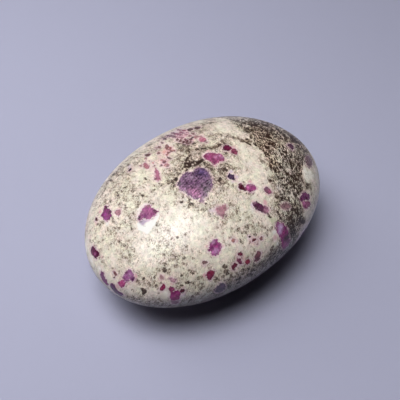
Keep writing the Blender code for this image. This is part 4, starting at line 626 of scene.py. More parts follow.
    dict(at=[(305.6, 158.5), (307, 156), (309, 156), (310.6, 158.2), (312.2, 161.5), (312, 165), (310, 166.8), (308, 166.2), (306.4, 163.6)], tone=(92, 66, 74), spots=[(308.8, 165, 1.6, (44, 28, 30)), (309, 158.5, 1.1, (124, 92, 100))], full=0.85, soft=0.14),
    dict(at=[(300.2, 199), (301.2, 196), (301.5, 193.8), (304, 192), (306, 192.3), (308.5, 194), (310, 197), (309.5, 199.5), (307, 200.3), (304.5, 200.5), (302, 201.5), (300.5, 200.5)],
         tone=(107, 58, 94), spots=[(306.5, 198.5, 1.4, (72, 5, 47)), (301, 199, 1.1, (67, 5, 43)), (307, 194.5, 1.6, (146, 80, 123))]),
    dict(at=[(302, 202.5), (304, 201), (307.5, 200.8), (310, 202), (310.7, 204.5), (308.5, 207), (306.5, 209), (304.5, 208.5), (303, 206)],
         tone=(150, 81, 114), spots=[(304, 203, 1.6, (177, 111, 154)), (305, 206.5, 1.4, (109, 31, 83))]),
    dict(at=[(199.5, 138), (202, 136.8), (205, 138), (207, 139.7), (206.5, 141.7), (204, 142), (201, 142), (199.3, 140.5)],
         tone=(172, 96, 118), spots=[(205, 141.3, 1.2, (97, 60, 70)), (201, 138.2, 1.4, (190, 138, 150))], full=0.9),
    dict(at=[(280.4, 205.6), (282.2, 203.4), (285.6, 202.9), (288.6, 204), (290.4, 206.4), (289.6, 208.8), (286, 209.4), (282.6, 208.6)], tone=(122, 76, 88), spots=[(283.7, 206.5, 1.1, (79, 50, 61)), (287.5, 205.5, 1.2, (150, 100, 116)), (285, 204.4, 0.9, (92, 56, 66))], full=0.68, soft=0.22, mottle=1.1),
]

# Chips of ruby too small for an outline: place, half length and half width in pixels, tilt in degrees, colour.
CHIPS = [
    (159, 147, 1.8, 1.3, 20, (118, 85, 85)), (156, 148, 1.2, 0.8, 0, (127, 99, 94)), (158.5, 153.3, 1.6, 1.4, 70, (110, 78, 80)), (167, 146.8, 2.6, 2.2, 60, (108, 63, 65)),
    (172.5, 151, 3.2, 0.9, 8, (122, 73, 71)), (168.5, 152.5, 1.6, 0.8, -30, (127, 75, 73)), (169, 149.8, 1.6, 0.8, 0, (137, 86, 83)), (169, 158, 2.8, 1, -30, (65, 43, 45)),
    (164.4, 161.8, 1.9, 1.6, 0, (101, 54, 61)), (167.5, 166, 2, 1.4, 30, (148, 106, 111)), (154.5, 166, 1.5, 1, 40, (116, 83, 83)), (155.5, 168.3, 1.2, 0.8, 0, (169, 118, 113)),
    (180.4, 141, 1.6, 1.2, 0, (94, 54, 58)), (183.6, 141.9, 1.7, 1.2, 20, (82, 44, 48)), (187, 140.7, 1.9, 1.3, -20, (96, 58, 64)), (190.4, 139.5, 1.9, 1.2, 10, (82, 46, 50)), (192.5, 137.7, 1.6, 1.2, 45, (73, 49, 52)), (190.5, 142, 1.6, 1, 0, (110, 77, 77)),
    (205.3, 141, 1.5, 1, 0, (111, 64, 78)), (197, 136.5, 2.5, 0.8, 0, (152, 115, 114)), (175, 133.5, 4.2, 1.1, -8, (112, 72, 88)), (179, 130, 2.2, 0.9, -8, (144, 96, 115)),
    (183, 133, 2, 1.2, 0, (158, 120, 134)), (165, 139, 2.5, 1.2, -15, (95, 80, 83)), (168, 135.5, 2, 0.9, -15, (94, 68, 85)), (177, 137, 1.5, 1, 0, (178, 139, 149)),
    (257.5, 244, 1, 0.9, 0, (150, 107, 111)), (234.5, 270, 1.3, 0.8, 0, (118, 60, 71)),
    (178, 134.2, 6, 1, -12, (146, 92, 114)), (172, 136.2, 5, 1.3, -14, (112, 85, 96)), (181.5, 132.4, 3, 0.9, -14, (146, 76, 100)), (183.6, 130.4, 2.8, 0.9, -12, (122, 52, 76)), (187.5, 132.8, 2, 0.8, -10, (200, 156, 166)), (190.2, 129.6, 3, 1.5, 4, (62, 36, 32)), (197, 128, 3.6, 1.4, 4, (64, 38, 34)), (186.4, 134.6, 2, 0.9, 0, (190, 140, 152)), (185.2, 139.3, 1.2, 0.8, 0, (116, 68, 76)), (181.6, 139.2, 1.2, 0.8, 0, (122, 76, 84)),
    (200, 136.3, 3, 1, 0, (175, 132, 134)), (170.5, 148.2, 1.6, 1.4, 0, (158, 83, 77)), (167, 154.6, 1.4, 1.1, 0, (167, 107, 103)), (166.5, 165, 2.4, 1.5, 20, (176, 127, 127)),
    (161, 165.5, 1.6, 1.1, 0, (180, 139, 135)), (162, 160.3, 1.6, 1.1, 0, (169, 117, 117)), (195.5, 137.5, 1.8, 1, 0, (152, 102, 106)), (206.3, 142.2, 1.4, 1, 0, (109, 75, 75)),
    (177.3, 139.6, 2, 1.1, 0, (108, 68, 72)), (187.3, 143, 2, 1.1, 0, (101, 65, 67)), (173, 150.4, 1.6, 1.1, 0, (183, 129, 120)), (153, 163, 1.3, 0.9, 0, (175, 117, 113)),
    (146, 158.5, 1.3, 1.1, 0, (139, 97, 93)), (149.5, 161, 1.1, 0.9, 0, (148, 108, 104)), (141, 166, 1.3, 0.9, 0, (132, 99, 98)), (190, 136, 2.4, 1, 5, (142, 97, 105)),
    (181, 137.3, 2.6, 1, -5, (162, 118, 129)), (162, 142.5, 2, 1, -15, (117, 86, 89)), (193, 133.5, 2.2, 0.9, -5, (125, 92, 95)),
]

# Pale halos and pink dust: kind, place, radius in pixels, strength.
HALOS = [
    # The brightest kind is paler than albite itself: on the left rim (86 to 104, 248 to 275) and the right rim (308 to
    # 309, 175 to 177) it is painted light on the edge; elsewhere it marks pale albite.
    ("bright_albite_and_rim_light", 166.5, 294, 3.5, 0.6), ("bright_albite_and_rim_light", 275, 239.5, 2.6, 0.7), ("bright_albite_and_rim_light", 223, 247, 1.9, 0.8), ("bright_albite_and_rim_light", 187.3, 133.6, 2.4, 0.5), ("bright_albite_and_rim_light", 309, 177, 3.5, 0.2),
    ("bright_albite_and_rim_light", 86, 248, 6.0, 0.5), ("bright_albite_and_rim_light", 91, 260, 5.0, 0.5), ("bright_albite_and_rim_light", 99, 269, 4.0, 0.4), ("bright_albite_and_rim_light", 104, 275, 3.5, 0.5), ("cream", 164, 296, 4.0, 0.6),
    ("olive", 280, 143, 4.5, 0.5), ("olive", 275, 150, 3.5, 0.3), ("olive", 272, 166, 4.0, 0.4), ("ash", 287, 168, 3.2, 0.45), ("ash", 278, 187, 4.0, 0.5),
    ("ash", 282, 180, 3.0, 0.3), ("ash", 284, 194, 3.0, 0.35), ("ash", 293, 155, 2.5, 0.3), ("brown", 257, 133, 4.0, 0.3), ("brown", 284, 160, 3.0, 0.25),
    ("lilac", 174, 132, 6.0, 0.5), ("pink", 182, 137, 5.0, 0.55), ("pink", 186, 131, 3.5, 0.5), ("pink", 170, 148, 4.0, 0.5), ("orange", 167, 152, 3.6, 0.6),
    ("pink", 165, 164, 5.0, 0.5), ("pink", 158, 152, 4.0, 0.35), ("pink", 152, 168, 3.0, 0.3), ("pink", 192, 141, 4.0, 0.4), ("pink", 154, 147, 4.0, 0.3),
    ("pink", 160, 140, 4.0, 0.3), ("pink", 203, 134, 4.0, 0.25), ("pink", 146, 160, 3.5, 0.35), ("lilac", 182, 128, 3.5, 0.4), ("pink", 209, 165, 3.0, 0.3),
    ("white", 148, 226, 8.0, 0.5), ("white", 139, 209, 3.0, 0.4), ("white", 107.5, 224, 3.0, 0.6), ("pink", 100.5, 211.5, 2.6, 0.6),
    ("pink", 119, 209, 3.2, 0.5), ("pink", 96.5, 223, 5.0, 0.35), ("pink", 221, 209, 6.5, 0.45), ("lilac", 212, 211, 5.0, 0.40),
    ("pink", 236.5, 240.5, 2.6, 0.5), ("pink", 222.5, 246, 2.0, 0.7), ("pink", 207.5, 246, 2.0, 0.6), ("white", 218, 257, 2.4, 0.4),
    ("pink", 265, 202.5, 3.0, 0.7), ("lilac", 252.5, 205, 2.2, 0.7), ("white", 252, 210, 3.4, 0.5), ("pink", 269.5, 209, 1.6, 0.4),
    ("white", 274.5, 232, 2.2, 0.7), ("pink", 275, 238, 2.6, 0.8), ("white", 277.5, 244, 2.4, 0.7), ("pink", 255.5, 238.5, 6.0, 0.40),
    ("pink", 250, 241.5, 3.0, 0.3), ("pink", 89.5, 250, 1.6, 0.6), ("pink", 100, 250, 1.8, 0.5), ("pink", 102, 257, 1.8, 0.5),
    ("pink", 135.5, 276, 2.2, 0.7), ("pink", 128.5, 283, 2.2, 0.6), ("pink", 117.5, 286, 3.0, 0.7), ("pink", 121, 278.5, 2.4, 0.4),
    ("cream", 106, 275, 4.0, 0.5), ("cream", 111, 281, 3.2, 0.4), ("pink", 161.5, 279, 3.6, 0.5), ("pink", 172, 283.5, 2.6, 0.6),
    ("lilac", 183, 295, 3.0, 0.5), ("pink", 204.5, 275, 2.6, 0.5), ("pink", 243.5, 258, 2.4, 0.6), ("pink", 239, 258, 6.0, 0.25),
    ("pink", 235, 270.5, 2.0, 0.3), ("lilac", 129.5, 166, 4.4, 0.45), ("pink", 146.5, 164.5, 4.6, 0.40), ("pink", 157.5, 175, 5.0, 0.35),
    ("pink", 151.5, 171, 2.4, 0.3), ("pink", 165.5, 161, 3.4, 0.4), ("orange", 168, 149.5, 5.2, 0.6), ("pink", 164.5, 155.5, 8.5, 0.33),
    ("pink", 157, 160, 5.0, 0.25), ("cream", 180.5, 176.5, 2.8, 0.6), ("pink", 208.5, 151.3, 3.0, 0.5), ("pink", 215.5, 166, 2.4, 0.5),
    ("pink", 222, 163, 2.0, 0.4), ("pink", 233.5, 147, 3.0, 0.6), ("pink", 238.3, 150.3, 2.2, 0.5), ("pink", 229.5, 152, 2.2, 0.5),
    ("lilac", 230.5, 171.8, 3.0, 0.5), ("lilac", 236.3, 177, 2.8, 0.5), ("lilac", 232.5, 182, 2.6, 0.4), ("pink", 250, 182, 2.4, 0.6),
    ("pink", 256.2, 188.5, 1.9, 0.6), ("pink", 266.5, 193.5, 2.0, 0.6), ("pink", 293.7, 144, 1.8, 0.7), ("pink", 288.6, 148, 1.6, 0.6),
    ("pink", 309.3, 155, 2.6, 0.5), ("pink", 304, 210, 2.6, 0.3), ("pink", 182, 134, 8.5, 0.42), ("pink", 174, 137, 5.0, 0.25),
    ("pink", 201, 138.5, 5.4, 0.45), ("pink", 190, 141, 4.0, 0.3), ("pink", 286.5, 206.5, 3.6, 0.35), ("bright_albite_and_rim_light", 308, 175, 4.0, 0.15),
    ("green", 273, 220, 4.5, 0.5), ("green", 226, 200, 10.0, 0.18), ("green", 268, 216, 3.0, 0.3), ("green", 112, 196, 8.0, 0.15),
    ("pink", 160, 242, 4.0, 0.18), ("pink", 163, 255, 4.0, 0.20), ("pink", 146, 245, 4.0, 0.15), ("pink", 188, 222, 4.0, 0.12),
    ("pink", 246, 250, 5.0, 0.18), ("pink", 210, 225, 5.0, 0.12), ("pink", 258, 246, 5.0, 0.22), ("pink", 112, 246, 5.0, 0.1),
]
# The brightest colour lies beyond albite's own and partly stands in for light on the rims.
HALO_COLOUR = {
    "white": (226, 222, 217), "cream": (214, 203, 184), "pink": (206, 158, 162), "lilac": (196, 178, 196),
    "orange": (210, 156, 138), "green": (190, 190, 158), "olive": (150, 142, 122), "ash": (196, 188, 184),
    "brown": (170, 146, 128), "bright_albite_and_rim_light": (250, 246, 240),
}

# Patches of matrix with an outline of their own: colour, strength, width of the edge in millimetres.
PATCHES = [
    # The first patch is white albite at the right rim, painted brighter than albite can be, which adds painted light on
    # that edge.
    ([(300.6, 164), (302.6, 168.6), (305, 166), (307, 169.6), (310.5, 170), (312.6, 173), (315, 175.5), (313.4, 179), (314, 182.5), (310.6, 180.4), (308, 184.4), (305.6, 180.6), (303.6, 182), (304, 176), (301.4, 172)], (255, 252, 240), 0.42, 0.8),
    ([(137, 221.5), (140, 223.5), (143, 226), (146, 223.5), (149, 221.5), (153, 219), (156, 215), (159, 213), (159.5, 216), (157, 220), (155, 224), (152, 228), (149, 232), (147, 234), (144, 232), (141, 230.5), (138.5, 230), (137.2, 226)], (228, 225, 221), 1.0, 0.22),
    ([(136.5, 218), (137.5, 213), (139.5, 208.5), (142, 205), (145, 203.2), (147.5, 203.6), (143.5, 207), (141, 210.5), (139, 214.5), (138, 218)], (224, 210, 206), 0.95, 0.15),
    ([(144, 219), (151.5, 218.5), (149, 221.5), (145, 222.5)], (206, 182, 204), 0.9, 0.18),
    ([(138.5, 220.5), (142, 219), (146.5, 219), (147.5, 220.5), (145.5, 222.5), (144.2, 225), (142, 225.5), (140.3, 223.8)], (166, 142, 172), 0.9, 0.30),
    ([(138, 221.5), (141.5, 219.5), (143, 220.5), (141.5, 222.5), (139.5, 223)], (104, 78, 104), 0.8, 0.30),
]

gem = np.full(len(skin), 9.0)
gem_colour = np.tile(linear((110, 50, 90)), (len(skin), 1))
gem_full = np.ones(len(skin))
gem_soft = np.full(len(skin), 0.07)
gem_mottle = np.full(len(skin), 0.5)
gem_ragged = np.full(len(skin), 0.5)


def lay_crystal(ring, tone, spots, full=1.0, soft=0.07, mottle=0.35, spot_scale=PX):
    """One crystal: ring and spot places are points on the skin."""
    at = ring.mean(0)
    up = normals_at(at[None])[0]
    e1 = np.cross(up, [0.3, 0.2, 0.93])
    e1 /= np.linalg.norm(e1)
    e2 = np.cross(up, e1)
    flat = np.stack([(ring - at) @ e1, (ring - at) @ e2], 1)
    reach = np.linalg.norm(ring - at, axis=1).max() + 2.2
    near = np.where(np.linalg.norm(skin - at, axis=1) < reach)[0]
    here = skin[near] - at
    dist = outline_distance(np.stack([here @ e1, here @ e2], 1), flat)
    better = dist < gem[near]
    near, dist = near[better], dist[better]
    colour = np.tile(linear(tone), (len(near), 1))
    for place, radius, other in spots:
        w = np.exp(-((np.linalg.norm(skin[near] - place, axis=1) / radius) ** 2) ** 1.3)[:, None]
        colour = colour * (1 - w) + linear(other) * w
    gem[near] = dist
    gem_colour[near] = colour
    gem_full[near] = full
    gem_soft[near] = soft
    gem_mottle[near] = mottle
    gem_ragged[near] = np.clip(np.linalg.norm(ring - at, axis=1).mean() / 2.0, 0.55, 1.0)


for ruby in RUBIES:
    ring = drop(ruby["at"])
    inner_spots = [(drop((x, y))[0], r * PX, tone) for x, y, r, tone in ruby["spots"]]
    lay_crystal(ring, ruby["tone"], inner_spots, ruby.get("full", 1.0), ruby.get("soft", 0.07), ruby.get("mottle", 0.5))

chip_rng = np.random.RandomState(77)
for x, y, long, wide, tilt, tone in CHIPS:
    turned = np.radians(np.arange(7) / 7 * 360.0 + chip_rng.uniform(-18, 18, 7))
    reach = chip_rng.uniform(0.8, 1.2, 7)
    along, across = np.cos(turned) * reach * long, np.sin(turned) * reach * wide
    c, t = math.cos(math.radians(tilt)), math.sin(math.radians(tilt))
    ring = drop(np.stack([x + along * c - across * t, y - along * t - across * c], 1))
    lay_crystal(ring, tone, [], full=0.84, soft=0.10, mottle=0.9)

halo = np.zeros((len(skin), 3))
halo_amount = np.zeros(len(skin))


def lay_halo(kind, at, radius, amount):
    d = np.linalg.norm(skin - at, axis=1) / radius
    w = amount * np.exp(-(d**2) ** 1.2)
    ragged = 0.65 + 0.7 * value_noise(skin, 0.9, 91)
    w = np.clip(w * ragged, 0.0, 1.0)
    colour = linear(HALO_COLOUR[kind])
    total = halo_amount + w - halo_amount * w
    share = np.where(total > 1e-6, w / np.maximum(total, 1e-6), 0.0)
    halo[:] = halo * (1 - share[:, None]) + colour * share[:, None]
    halo_amount[:] = total


for kind, x, y, r, amount in HALOS:
    lay_halo(kind, drop((x, y))[0], r * PX, amount)
for outline, tone, strength, soft in PATCHES:
    ring = drop(outline)
    at = ring.mean(0)
    up = normals_at(at[None])[0]
    e1 = np.cross(up, [0.3, 0.2, 0.93])
    e1 /= np.linalg.norm(e1)
    e2 = np.cross(up, e1)
    here = skin - at
    dist = outline_distance(np.stack([here @ e1, here @ e2], 1), np.stack([(ring - at) @ e1, (ring - at) @ e2], 1))
    w = np.where(here @ up > -6.0, strength * ease(soft, -soft, dist), 0.0)
    halo = halo * (1 - w[:, None]) + linear(tone) * w[:, None]
    halo_amount = np.maximum(halo_amount, w)

# The sides that the picture doesn't show carry more of the same, at random.
rng = np.random.RandomState(4321)
TONES = [
    (110, 45, 95), (96, 32, 72), (128, 62, 110), (150, 60, 105), (85, 30, 60), (112, 70, 105),
    (130, 75, 105), (90, 36, 55), (120, 60, 80), (145, 85, 110), (78, 55, 82), (140, 50, 88),
]
hidden_at = []
tries = 0
while len(hidden_at) < 62 and tries < 6000:
    tries += 1
    k = rng.randint(len(skin))
    p = skin[k]
    if seen[k] > 0.0 and facing[k] > -0.08:
        continue
    big = len(hidden_at)
    radius = rng.uniform(2.2, 3.4) if big < 4 else rng.uniform(1.1, 1.9) if big < 16 else rng.uniform(0.35, 0.95)
    if any(np.linalg.norm(p - q) < (radius + r) * 1.25 for q, r in hidden_at):
        continue
    if gem[k] < radius + 0.8:
        continue
    if big >= 26 and hidden_at and min(np.linalg.norm(p - q) for q, r in hidden_at) > 4.5:
        continue  # the small ones keep company
    hidden_at.append((p, radius))
    up = normals_at(p[None])[0]
    e1 = np.cross(up, rng.randn(3))
    e1 /= np.linalg.norm(e1)
    e2 = np.cross(up, e1)
    n = rng.randint(5, 8)
    ang = np.sort((np.arange(n) + rng.uniform(-0.32, 0.32, n)) / n * 2 * math.pi)
    rad = radius * rng.uniform(0.8, 1.12, n)
    long = rng.uniform(1.0, 1.5)
    ring = p + (np.cos(ang) * rad * math.sqrt(long))[:, None] * e1 + (np.sin(ang) * rad / math.sqrt(long))[:, None] * e2
    tone = np.array(TONES[rng.randint(len(TONES))])
    spots = []
    for _ in range(3 if radius > 1.0 else 1):
        other = np.clip(tone * rng.uniform(0.6, 1.4) + (0, rng.uniform(0, 14), 6), 8, 210)
        spots.append((p + (rng.uniform(-0.6, 0.6) * e1 + rng.uniform(-0.6, 0.6) * e2) * radius, radius * rng.uniform(0.35, 0.6), other))
    lay_crystal(ring, tone, spots, full=rng.uniform(0.85, 1.0), mottle=0.5)
    if rng.rand() < 0.6:
        kind = ("white", "pink", "pink", "lilac")[rng.randint(4)]
        side = e1 * rng.uniform(-1, 1) + e2 * rng.uniform(-1, 1)
        lay_halo(kind, p + side * radius * 0.5, radius * rng.uniform(1.1, 1.6), rng.uniform(0.35, 0.8))

# Brown grains in the upper part of the band, grey ones lower down.
brown = ease(0.30, 0.70, cloud(skin, 5.0, 333, 2))
for x, y, r, amount in [(262, 132, 13, 0.9), (276, 130, 9, 0.6), (270, 165, 7, 0.5), (268, 148, 8, 0.6), (289, 168, 9, -1.0), (282, 190, 10, -1.0), (292, 190, 9, -0.9), (290, 212, 9, -0.6)]:
    here_now = drop((x, y))[0]
    brown = brown + amount * np.exp(-((np.linalg.norm(skin - here_now, axis=1) / (r * PX)) ** 2))
brown = np.clip(brown, 0.0, 1.0)

# Clean albite around crystals carries few flecks.
fleck = fleck * (1.0 - 0.85 * np.clip(halo_amount, 0, 1))

# -------------------------------------------------------------- real relief

# Ruby is far harder than albite, and mica far softer: polishing leaves the
# crystals a little proud and the mica a little sunk.
lift = 0.045 * ease(0.12, -0.14, gem) * gem_full
micaed = fleck + mark_amount * ease(0.15, -0.15, mark)
sink = 0.030 * ease(0.45, 0.95, micaed + 0.35 * (value_noise(skin, 0.75, 5) - 0.5)) * ease(0.0, 0.2, gem)
ripple = 0.020 * (cloud(skin, 6.0, 71, 2) - 0.5)
normals = normals_at(skin)
low_down = ease(0.4, 2.5, skin[:, 2])  # the resting spot stays true
points = skin + normals * ((lift - sink + ripple) * low_down)[:, None]
points[:, 2] = np.maximum(points[:, 2], 0.0)

mesh = bpy.data.meshes.new("polished_stone")
mesh.vertices.add(len(points))
mesh.vertices.foreach_set("co", (points * MM).astype(np.float32).ravel())
mesh.loops.add(quads.size)
mesh.loops.foreach_set("vertex_index", quads.astype(np.int32).ravel())
mesh.polygons.add(len(quads))
mesh.polygons.foreach_set("loop_start", np.arange(0, quads.size, 4, dtype=np.int32))
mesh.polygons.foreach_set("loop_total", np.full(len(quads), 4, np.int32))
mesh.update(calc_edges=True)
mesh.validate()
mesh.shade_smooth()


def store(name, values):
    if values.ndim == 1:
        layer = mesh.attributes.new(name, "FLOAT", "POINT")
        layer.data.foreach_set("value", values.astype(np.float32))
    else:
        layer = mesh.attributes.new(name, "FLOAT_COLOR", "POINT")
        rgba = np.concatenate([values, np.ones((len(values), 1))], 1)
        layer.data.foreach_set("color", rgba.astype(np.float32).ravel())


store("fleck", fleck)
store("mark", np.clip(mark, -2.0, 2.0))
store("mark_amount", mark_amount)
store("gem", np.clip(gem, -3.0, 3.0))
store("gem_colour", gem_colour)
store("gem_full", gem_full)
store("gem_soft", gem_soft)
store("gem_mottle", gem_mottle)
store("gem_ragged", gem_ragged)
store("halo_colour", np.where(halo_amount[:, None] > 1e-4, halo, linear(HALO_COLOUR["pink"])))
store("halo", halo_amount)
store("band", band)
store("painted_rim_shade", painted_rim_shade)
store("brown", brown)

stone = bpy.data.objects.new("polished_stone", mesh)
bpy.context.scene.collection.objects.link(stone)

# ---------------------------------------------------------------- materials


class Graph:
    """Short names for building a material's nodes."""

    def __init__(self, name):
        self.material = bpy.data.materials.new(name)
        self.material.use_nodes = True
        self.tree = self.material.node_tree
        self.shader = self.tree.nodes["Principled BSDF"]

    def node(self, kind, inputs=None, **settings):
        n = self.tree.nodes.new(kind)
        for key, value in settings.items():
            setattr(n, key, value)
        for key, value in (inputs or {}).items():
            self.put(n.inputs[key], value)
        return n

    def put(self, socket, value):
        if isinstance(value, bpy.types.NodeSocket):
            self.tree.links.new(value, socket)
        else:
            socket.default_value = value

    def math(self, op, a, b=0.0, c=0.0, clamp=False):
        n = self.tree.nodes.new("ShaderNodeMath")
        n.operation = op
        n.use_clamp = clamp
        self.put(n.inputs[0], a)
        self.put(n.inputs[1], b)
        self.put(n.inputs[2], c)
        return n.outputs[0]

    def vector(self, op, a, b=(0, 0, 0), scale=None):
        n = self.tree.nodes.new("ShaderNodeVectorMath")
        n.operation = op
        self.put(n.inputs[0], a)
        if op != "SCALE":
            self.put(n.inputs[1], b)
        if scale is not None:
            self.put(n.inputs["Scale"], scale)
        return n.outputs[0]

    def dot(self, a, way):
        n = self.tree.nodes.new("ShaderNodeVectorMath")
        n.operation = "DOT_PRODUCT"
        self.put(n.inputs[0], a)
        self.put(n.inputs[1], tuple(float(v) for v in way))
        return n.outputs["Value"]

    def span(self, value, low, high, to_low=0.0, to_high=1.0, smooth=True):
        n = self.tree.nodes.new("ShaderNodeMapRange")
        n.interpolation_type = "SMOOTHSTEP" if smooth else "LINEAR"
        n.clamp = True
        for key, v in (("Value", value), ("From Min", low), ("From Max", high), ("To Min", to_low), ("To Max", to_high)):
            self.put(n.inputs[key], v)
        return n.outputs[0]

    def noise(self, at, scale, detail=2.0, rough=0.5):
        n = self.node("ShaderNodeTexNoise", {"Vector": at, "Scale": scale, "Detail": detail, "Roughness": rough})
        return n.outputs

    def cells(self, at, scale, feature="F1", randomness=1.0):
        n = self.node("ShaderNodeTexVoronoi", {"Vector": at, "Scale": scale, "Randomness": randomness}, feature=feature)
        return n.outputs

    def blend(self, factor, a, b, kind="MIX"):
        n = self.tree.nodes.new("ShaderNodeMix")
        n.data_type = "RGBA"
        n.blend_type = kind
        self.put(n.inputs[0], factor)
        self.put(n.inputs[6], a)
        self.put(n.inputs[7], b)
        return n.outputs[2]

    def attribute(self, name, colour=False):
        n = self.node("ShaderNodeAttribute", attribute_name=name)
        return n.outputs["Color"] if colour else n.outputs["Fac"]

    def ramp(self, value, stops):
        n = self.tree.nodes.new("ShaderNodeValToRGB")
        self.put(n.inputs[0], value)
        ramp = n.color_ramp
        while len(ramp.elements) > 1:
            ramp.elements.remove(ramp.elements[-1])
        ramp.elements[0].position = stops[0][0]
        ramp.elements[0].color = (*stops[0][1], 1.0)
        for place, colour in stops[1:]:
            e = ramp.elements.new(place)
            e.color = (*colour, 1.0)
        return n.outputs[0]


PARTING_A = (CAMERA_RIGHT - CAMERA_UP) / math.sqrt(2.0)
PARTING_LINE = (CAMERA_RIGHT + CAMERA_UP) / math.sqrt(2.0)
PARTING_B = (CAMERA_RIGHT * 0.9 + CAMERA_UP * 0.45)


def rock_material():
    g = Graph("ruby_in_albite_polished")
    here = g.node("ShaderNodeTexCoord").outputs["Object"]
    mm = g.vector("SCALE", here, scale=1000.0)

    # Grain lies along the band: cells are squeezed across it.
    lean = Vector(BAND_NORMAL).rotation_difference(Vector((0, 0, 1))).to_euler()
    turned = g.node("ShaderNodeMapping", {"Vector": mm, "Rotation": lean}).outputs[0]
    grain = g.node("ShaderNodeMapping", {"Vector": turned, "Scale": (1.0, 1.0, 2.1)}).outputs[0]
    stir = g.vector("SUBTRACT", g.noise(mm, 1.3, 3.0, 0.6)[1], (0.5, 0.5, 0.5))
    grain = g.vector("ADD", grain, g.vector("SCALE", stir, scale=0.9))
    crumple = g.vector("SUBTRACT", g.noise(mm, 4.3, 2.0, 0.6)[1], (0.5, 0.5, 0.5))
    grain = g.vector("ADD", grain, g.vector("SCALE", crumple, scale=0.22))

    fleck_here = g.attribute("fleck")
    in_band = g.attribute("band")
    fine_value = g.node("ShaderNodeSeparateColor", {"Color": g.cells(grain, 2.5)[1]}).outputs
    coarse_value = g.node("ShaderNodeSeparateColor", {"Color": g.cells(grain, 1.2)[1]}).outputs
    speck_value = g.node("ShaderNodeSeparateColor", {"Color": g.cells(grain, 4.1)[1]}).outputs
    dust = g.noise(grain, 3.4, 3.0, 0.72)[0]
    knots = g.noise(grain, 1.35, 2.0, 0.55)[0]
    haze = g.noise(grain, 0.60, 2.0, 0.5)[0]
    # Films of mica between the grains.
    fold = g.math("ABSOLUTE", g.math("SUBTRACT", g.noise(grain, 0.85, 3.0, 0.6)[0], 0.5))
    film = g.math("MULTIPLY", g.span(fold, 0.075, 0.0), g.span(g.noise(mm, 0.5, 2.0, 0.5)[0], 0.40, 0.62))

    swing = g.math("MULTIPLY_ADD", in_band, 0.85, g.math("MULTIPLY_ADD", fleck_here, 1.25, 0.44))
    sharp = g.math("MULTIPLY", g.math("SUBTRACT", fine_value[0], 0.5), 0.42)
    sharp = g.math("MULTIPLY_ADD", g.math("SUBTRACT", dust, 0.5), 1.45, sharp)
    sharp = g.math("MULTIPLY_ADD", g.math("SUBTRACT", knots, 0.5), 0.40, sharp)
    sharp = g.math("MULTIPLY_ADD", g.math("SUBTRACT", coarse_value[0], 0.5), 0.16, sharp)
    dark = g.math("MULTIPLY_ADD", sharp, swing, fleck_here)
    dark = g.math("MULTIPLY_ADD", g.math("MULTIPLY", g.math("SUBTRACT", speck_value[0], 0.5), 0.58), g.math("MULTIPLY_ADD", swing, 0.8, 0.2), dark)
    # The mica of the band comes in small books, laid along it.
    books = g.math("MULTIPLY_ADD", g.math("SUBTRACT", coarse_value[0], 0.5), 0.60, g.math("MULTIPLY", g.math("SUBTRACT", knots, 0.5), 1.3))
    books = g.math("MULTIPLY_ADD", g.math("SUBTRACT", fine_value[2], 0.5), 0.72, books)
    dark = g.math("MULTIPLY_ADD", books, in_band, dark)
    dark = g.math("MULTIPLY_ADD", g.math("SUBTRACT", haze, 0.5), 0.75, dark)
    dark = g.math("MULTIPLY_ADD", film, 0.17, dark)
    # Grains and smears of mica with ragged edges.
    edge_noise = g.math("SUBTRACT", g.noise(mm, 2.0, 3.0, 0.65)[0], 0.5)
    ragged = g.math("MULTIPLY_ADD", edge_noise, 0.45, g.attribute("mark"))
    broken_up = g.math("MULTIPLY_ADD", fine_value[1], 0.70, g.math("MULTIPLY_ADD", speck_value[1], 0.50, 0.44))
    dark = g.math("MULTIPLY_ADD", g.math("MULTIPLY", g.span(ragged, 0.15, -0.15), broken_up), g.attribute("mark_amount"), dark)

    rock = g.ramp(dark, [
        (0.00, (0.765, 0.706, 0.624)),
        (0.14, (0.680, 0.612, 0.524)),
        (0.27, (0.540, 0.468, 0.385)),
        (0.38, (0.362, 0.299, 0.236)),
        (0.50, (0.204, 0.146, 0.107)),
        (0.66, (0.084, 0.045, 0.030)),
        (0.86, (0.026, 0.009, 0.005)),
    ])
    # Single albite grains differ: sugary white, cream, faint grey, faint pink, faint green.
    loose = g.vector("ADD", mm, g.vector("SCALE", stir, scale=0.7))
    grain_value = g.node("ShaderNodeSeparateColor", {"Color": g.cells(loose, 0.95)[1]}).outputs
    small_value = g.node("ShaderNodeSeparateColor", {"Color": g.cells(loose, 2.3)[1]}).outputs
    lighter = g.math("MULTIPLY", g.span(grain_value[1], 0.0, 1.0, 0.86, 1.10, smooth=False), g.span(small_value[1], 0.0, 1.0, 0.87, 1.11, smooth=False))
    rock = g.blend(1.0, rock, g.node("ShaderNodeCombineColor", {"Red": lighter, "Green": lighter, "Blue": lighter}).outputs[0], "MULTIPLY")
    warm = g.span(g.noise(mm, 0.34, 3.0, 0.6)[0], 0.36, 0.64)
    rock = g.blend(1.0, rock, g.blend(warm, (1.03, 0.970, 0.985, 1.0), (0.975, 1.0, 0.925, 1.0)), "MULTIPLY")
    blush = g.span(g.noise(loose, 1.1, 2.0, 0.6)[0], 0.34, 0.66)
    rock = g.blend(1.0, rock, g.blend(blush, (1.022, 0.974, 0.972, 1.0), (0.976, 1.004, 0.975, 1.0)), "MULTIPLY")
    clear = g.math("SUBTRACT", 1.0, g.span(dark, 0.34, 0.60))
    milky = g.span(g.noise(loose, 0.75, 3.0, 0.6)[0], 0.50, 0.66)
    rock = g.blend(g.math("MULTIPLY", g.math("MULTIPLY", milky, clear), 0.36), rock, (0.74, 0.70, 0.64, 1.0))
    sugar = g.span(g.noise(mm, 3.6, 2.0, 0.6)[0], 0.56, 0.70)
    rock = g.blend(g.math("MULTIPLY", g.math("MULTIPLY", sugar, g.math("MULTIPLY_ADD", clear, 0.93, 0.07)), 0.36), rock, (0.80, 0.765, 0.70, 1.0))
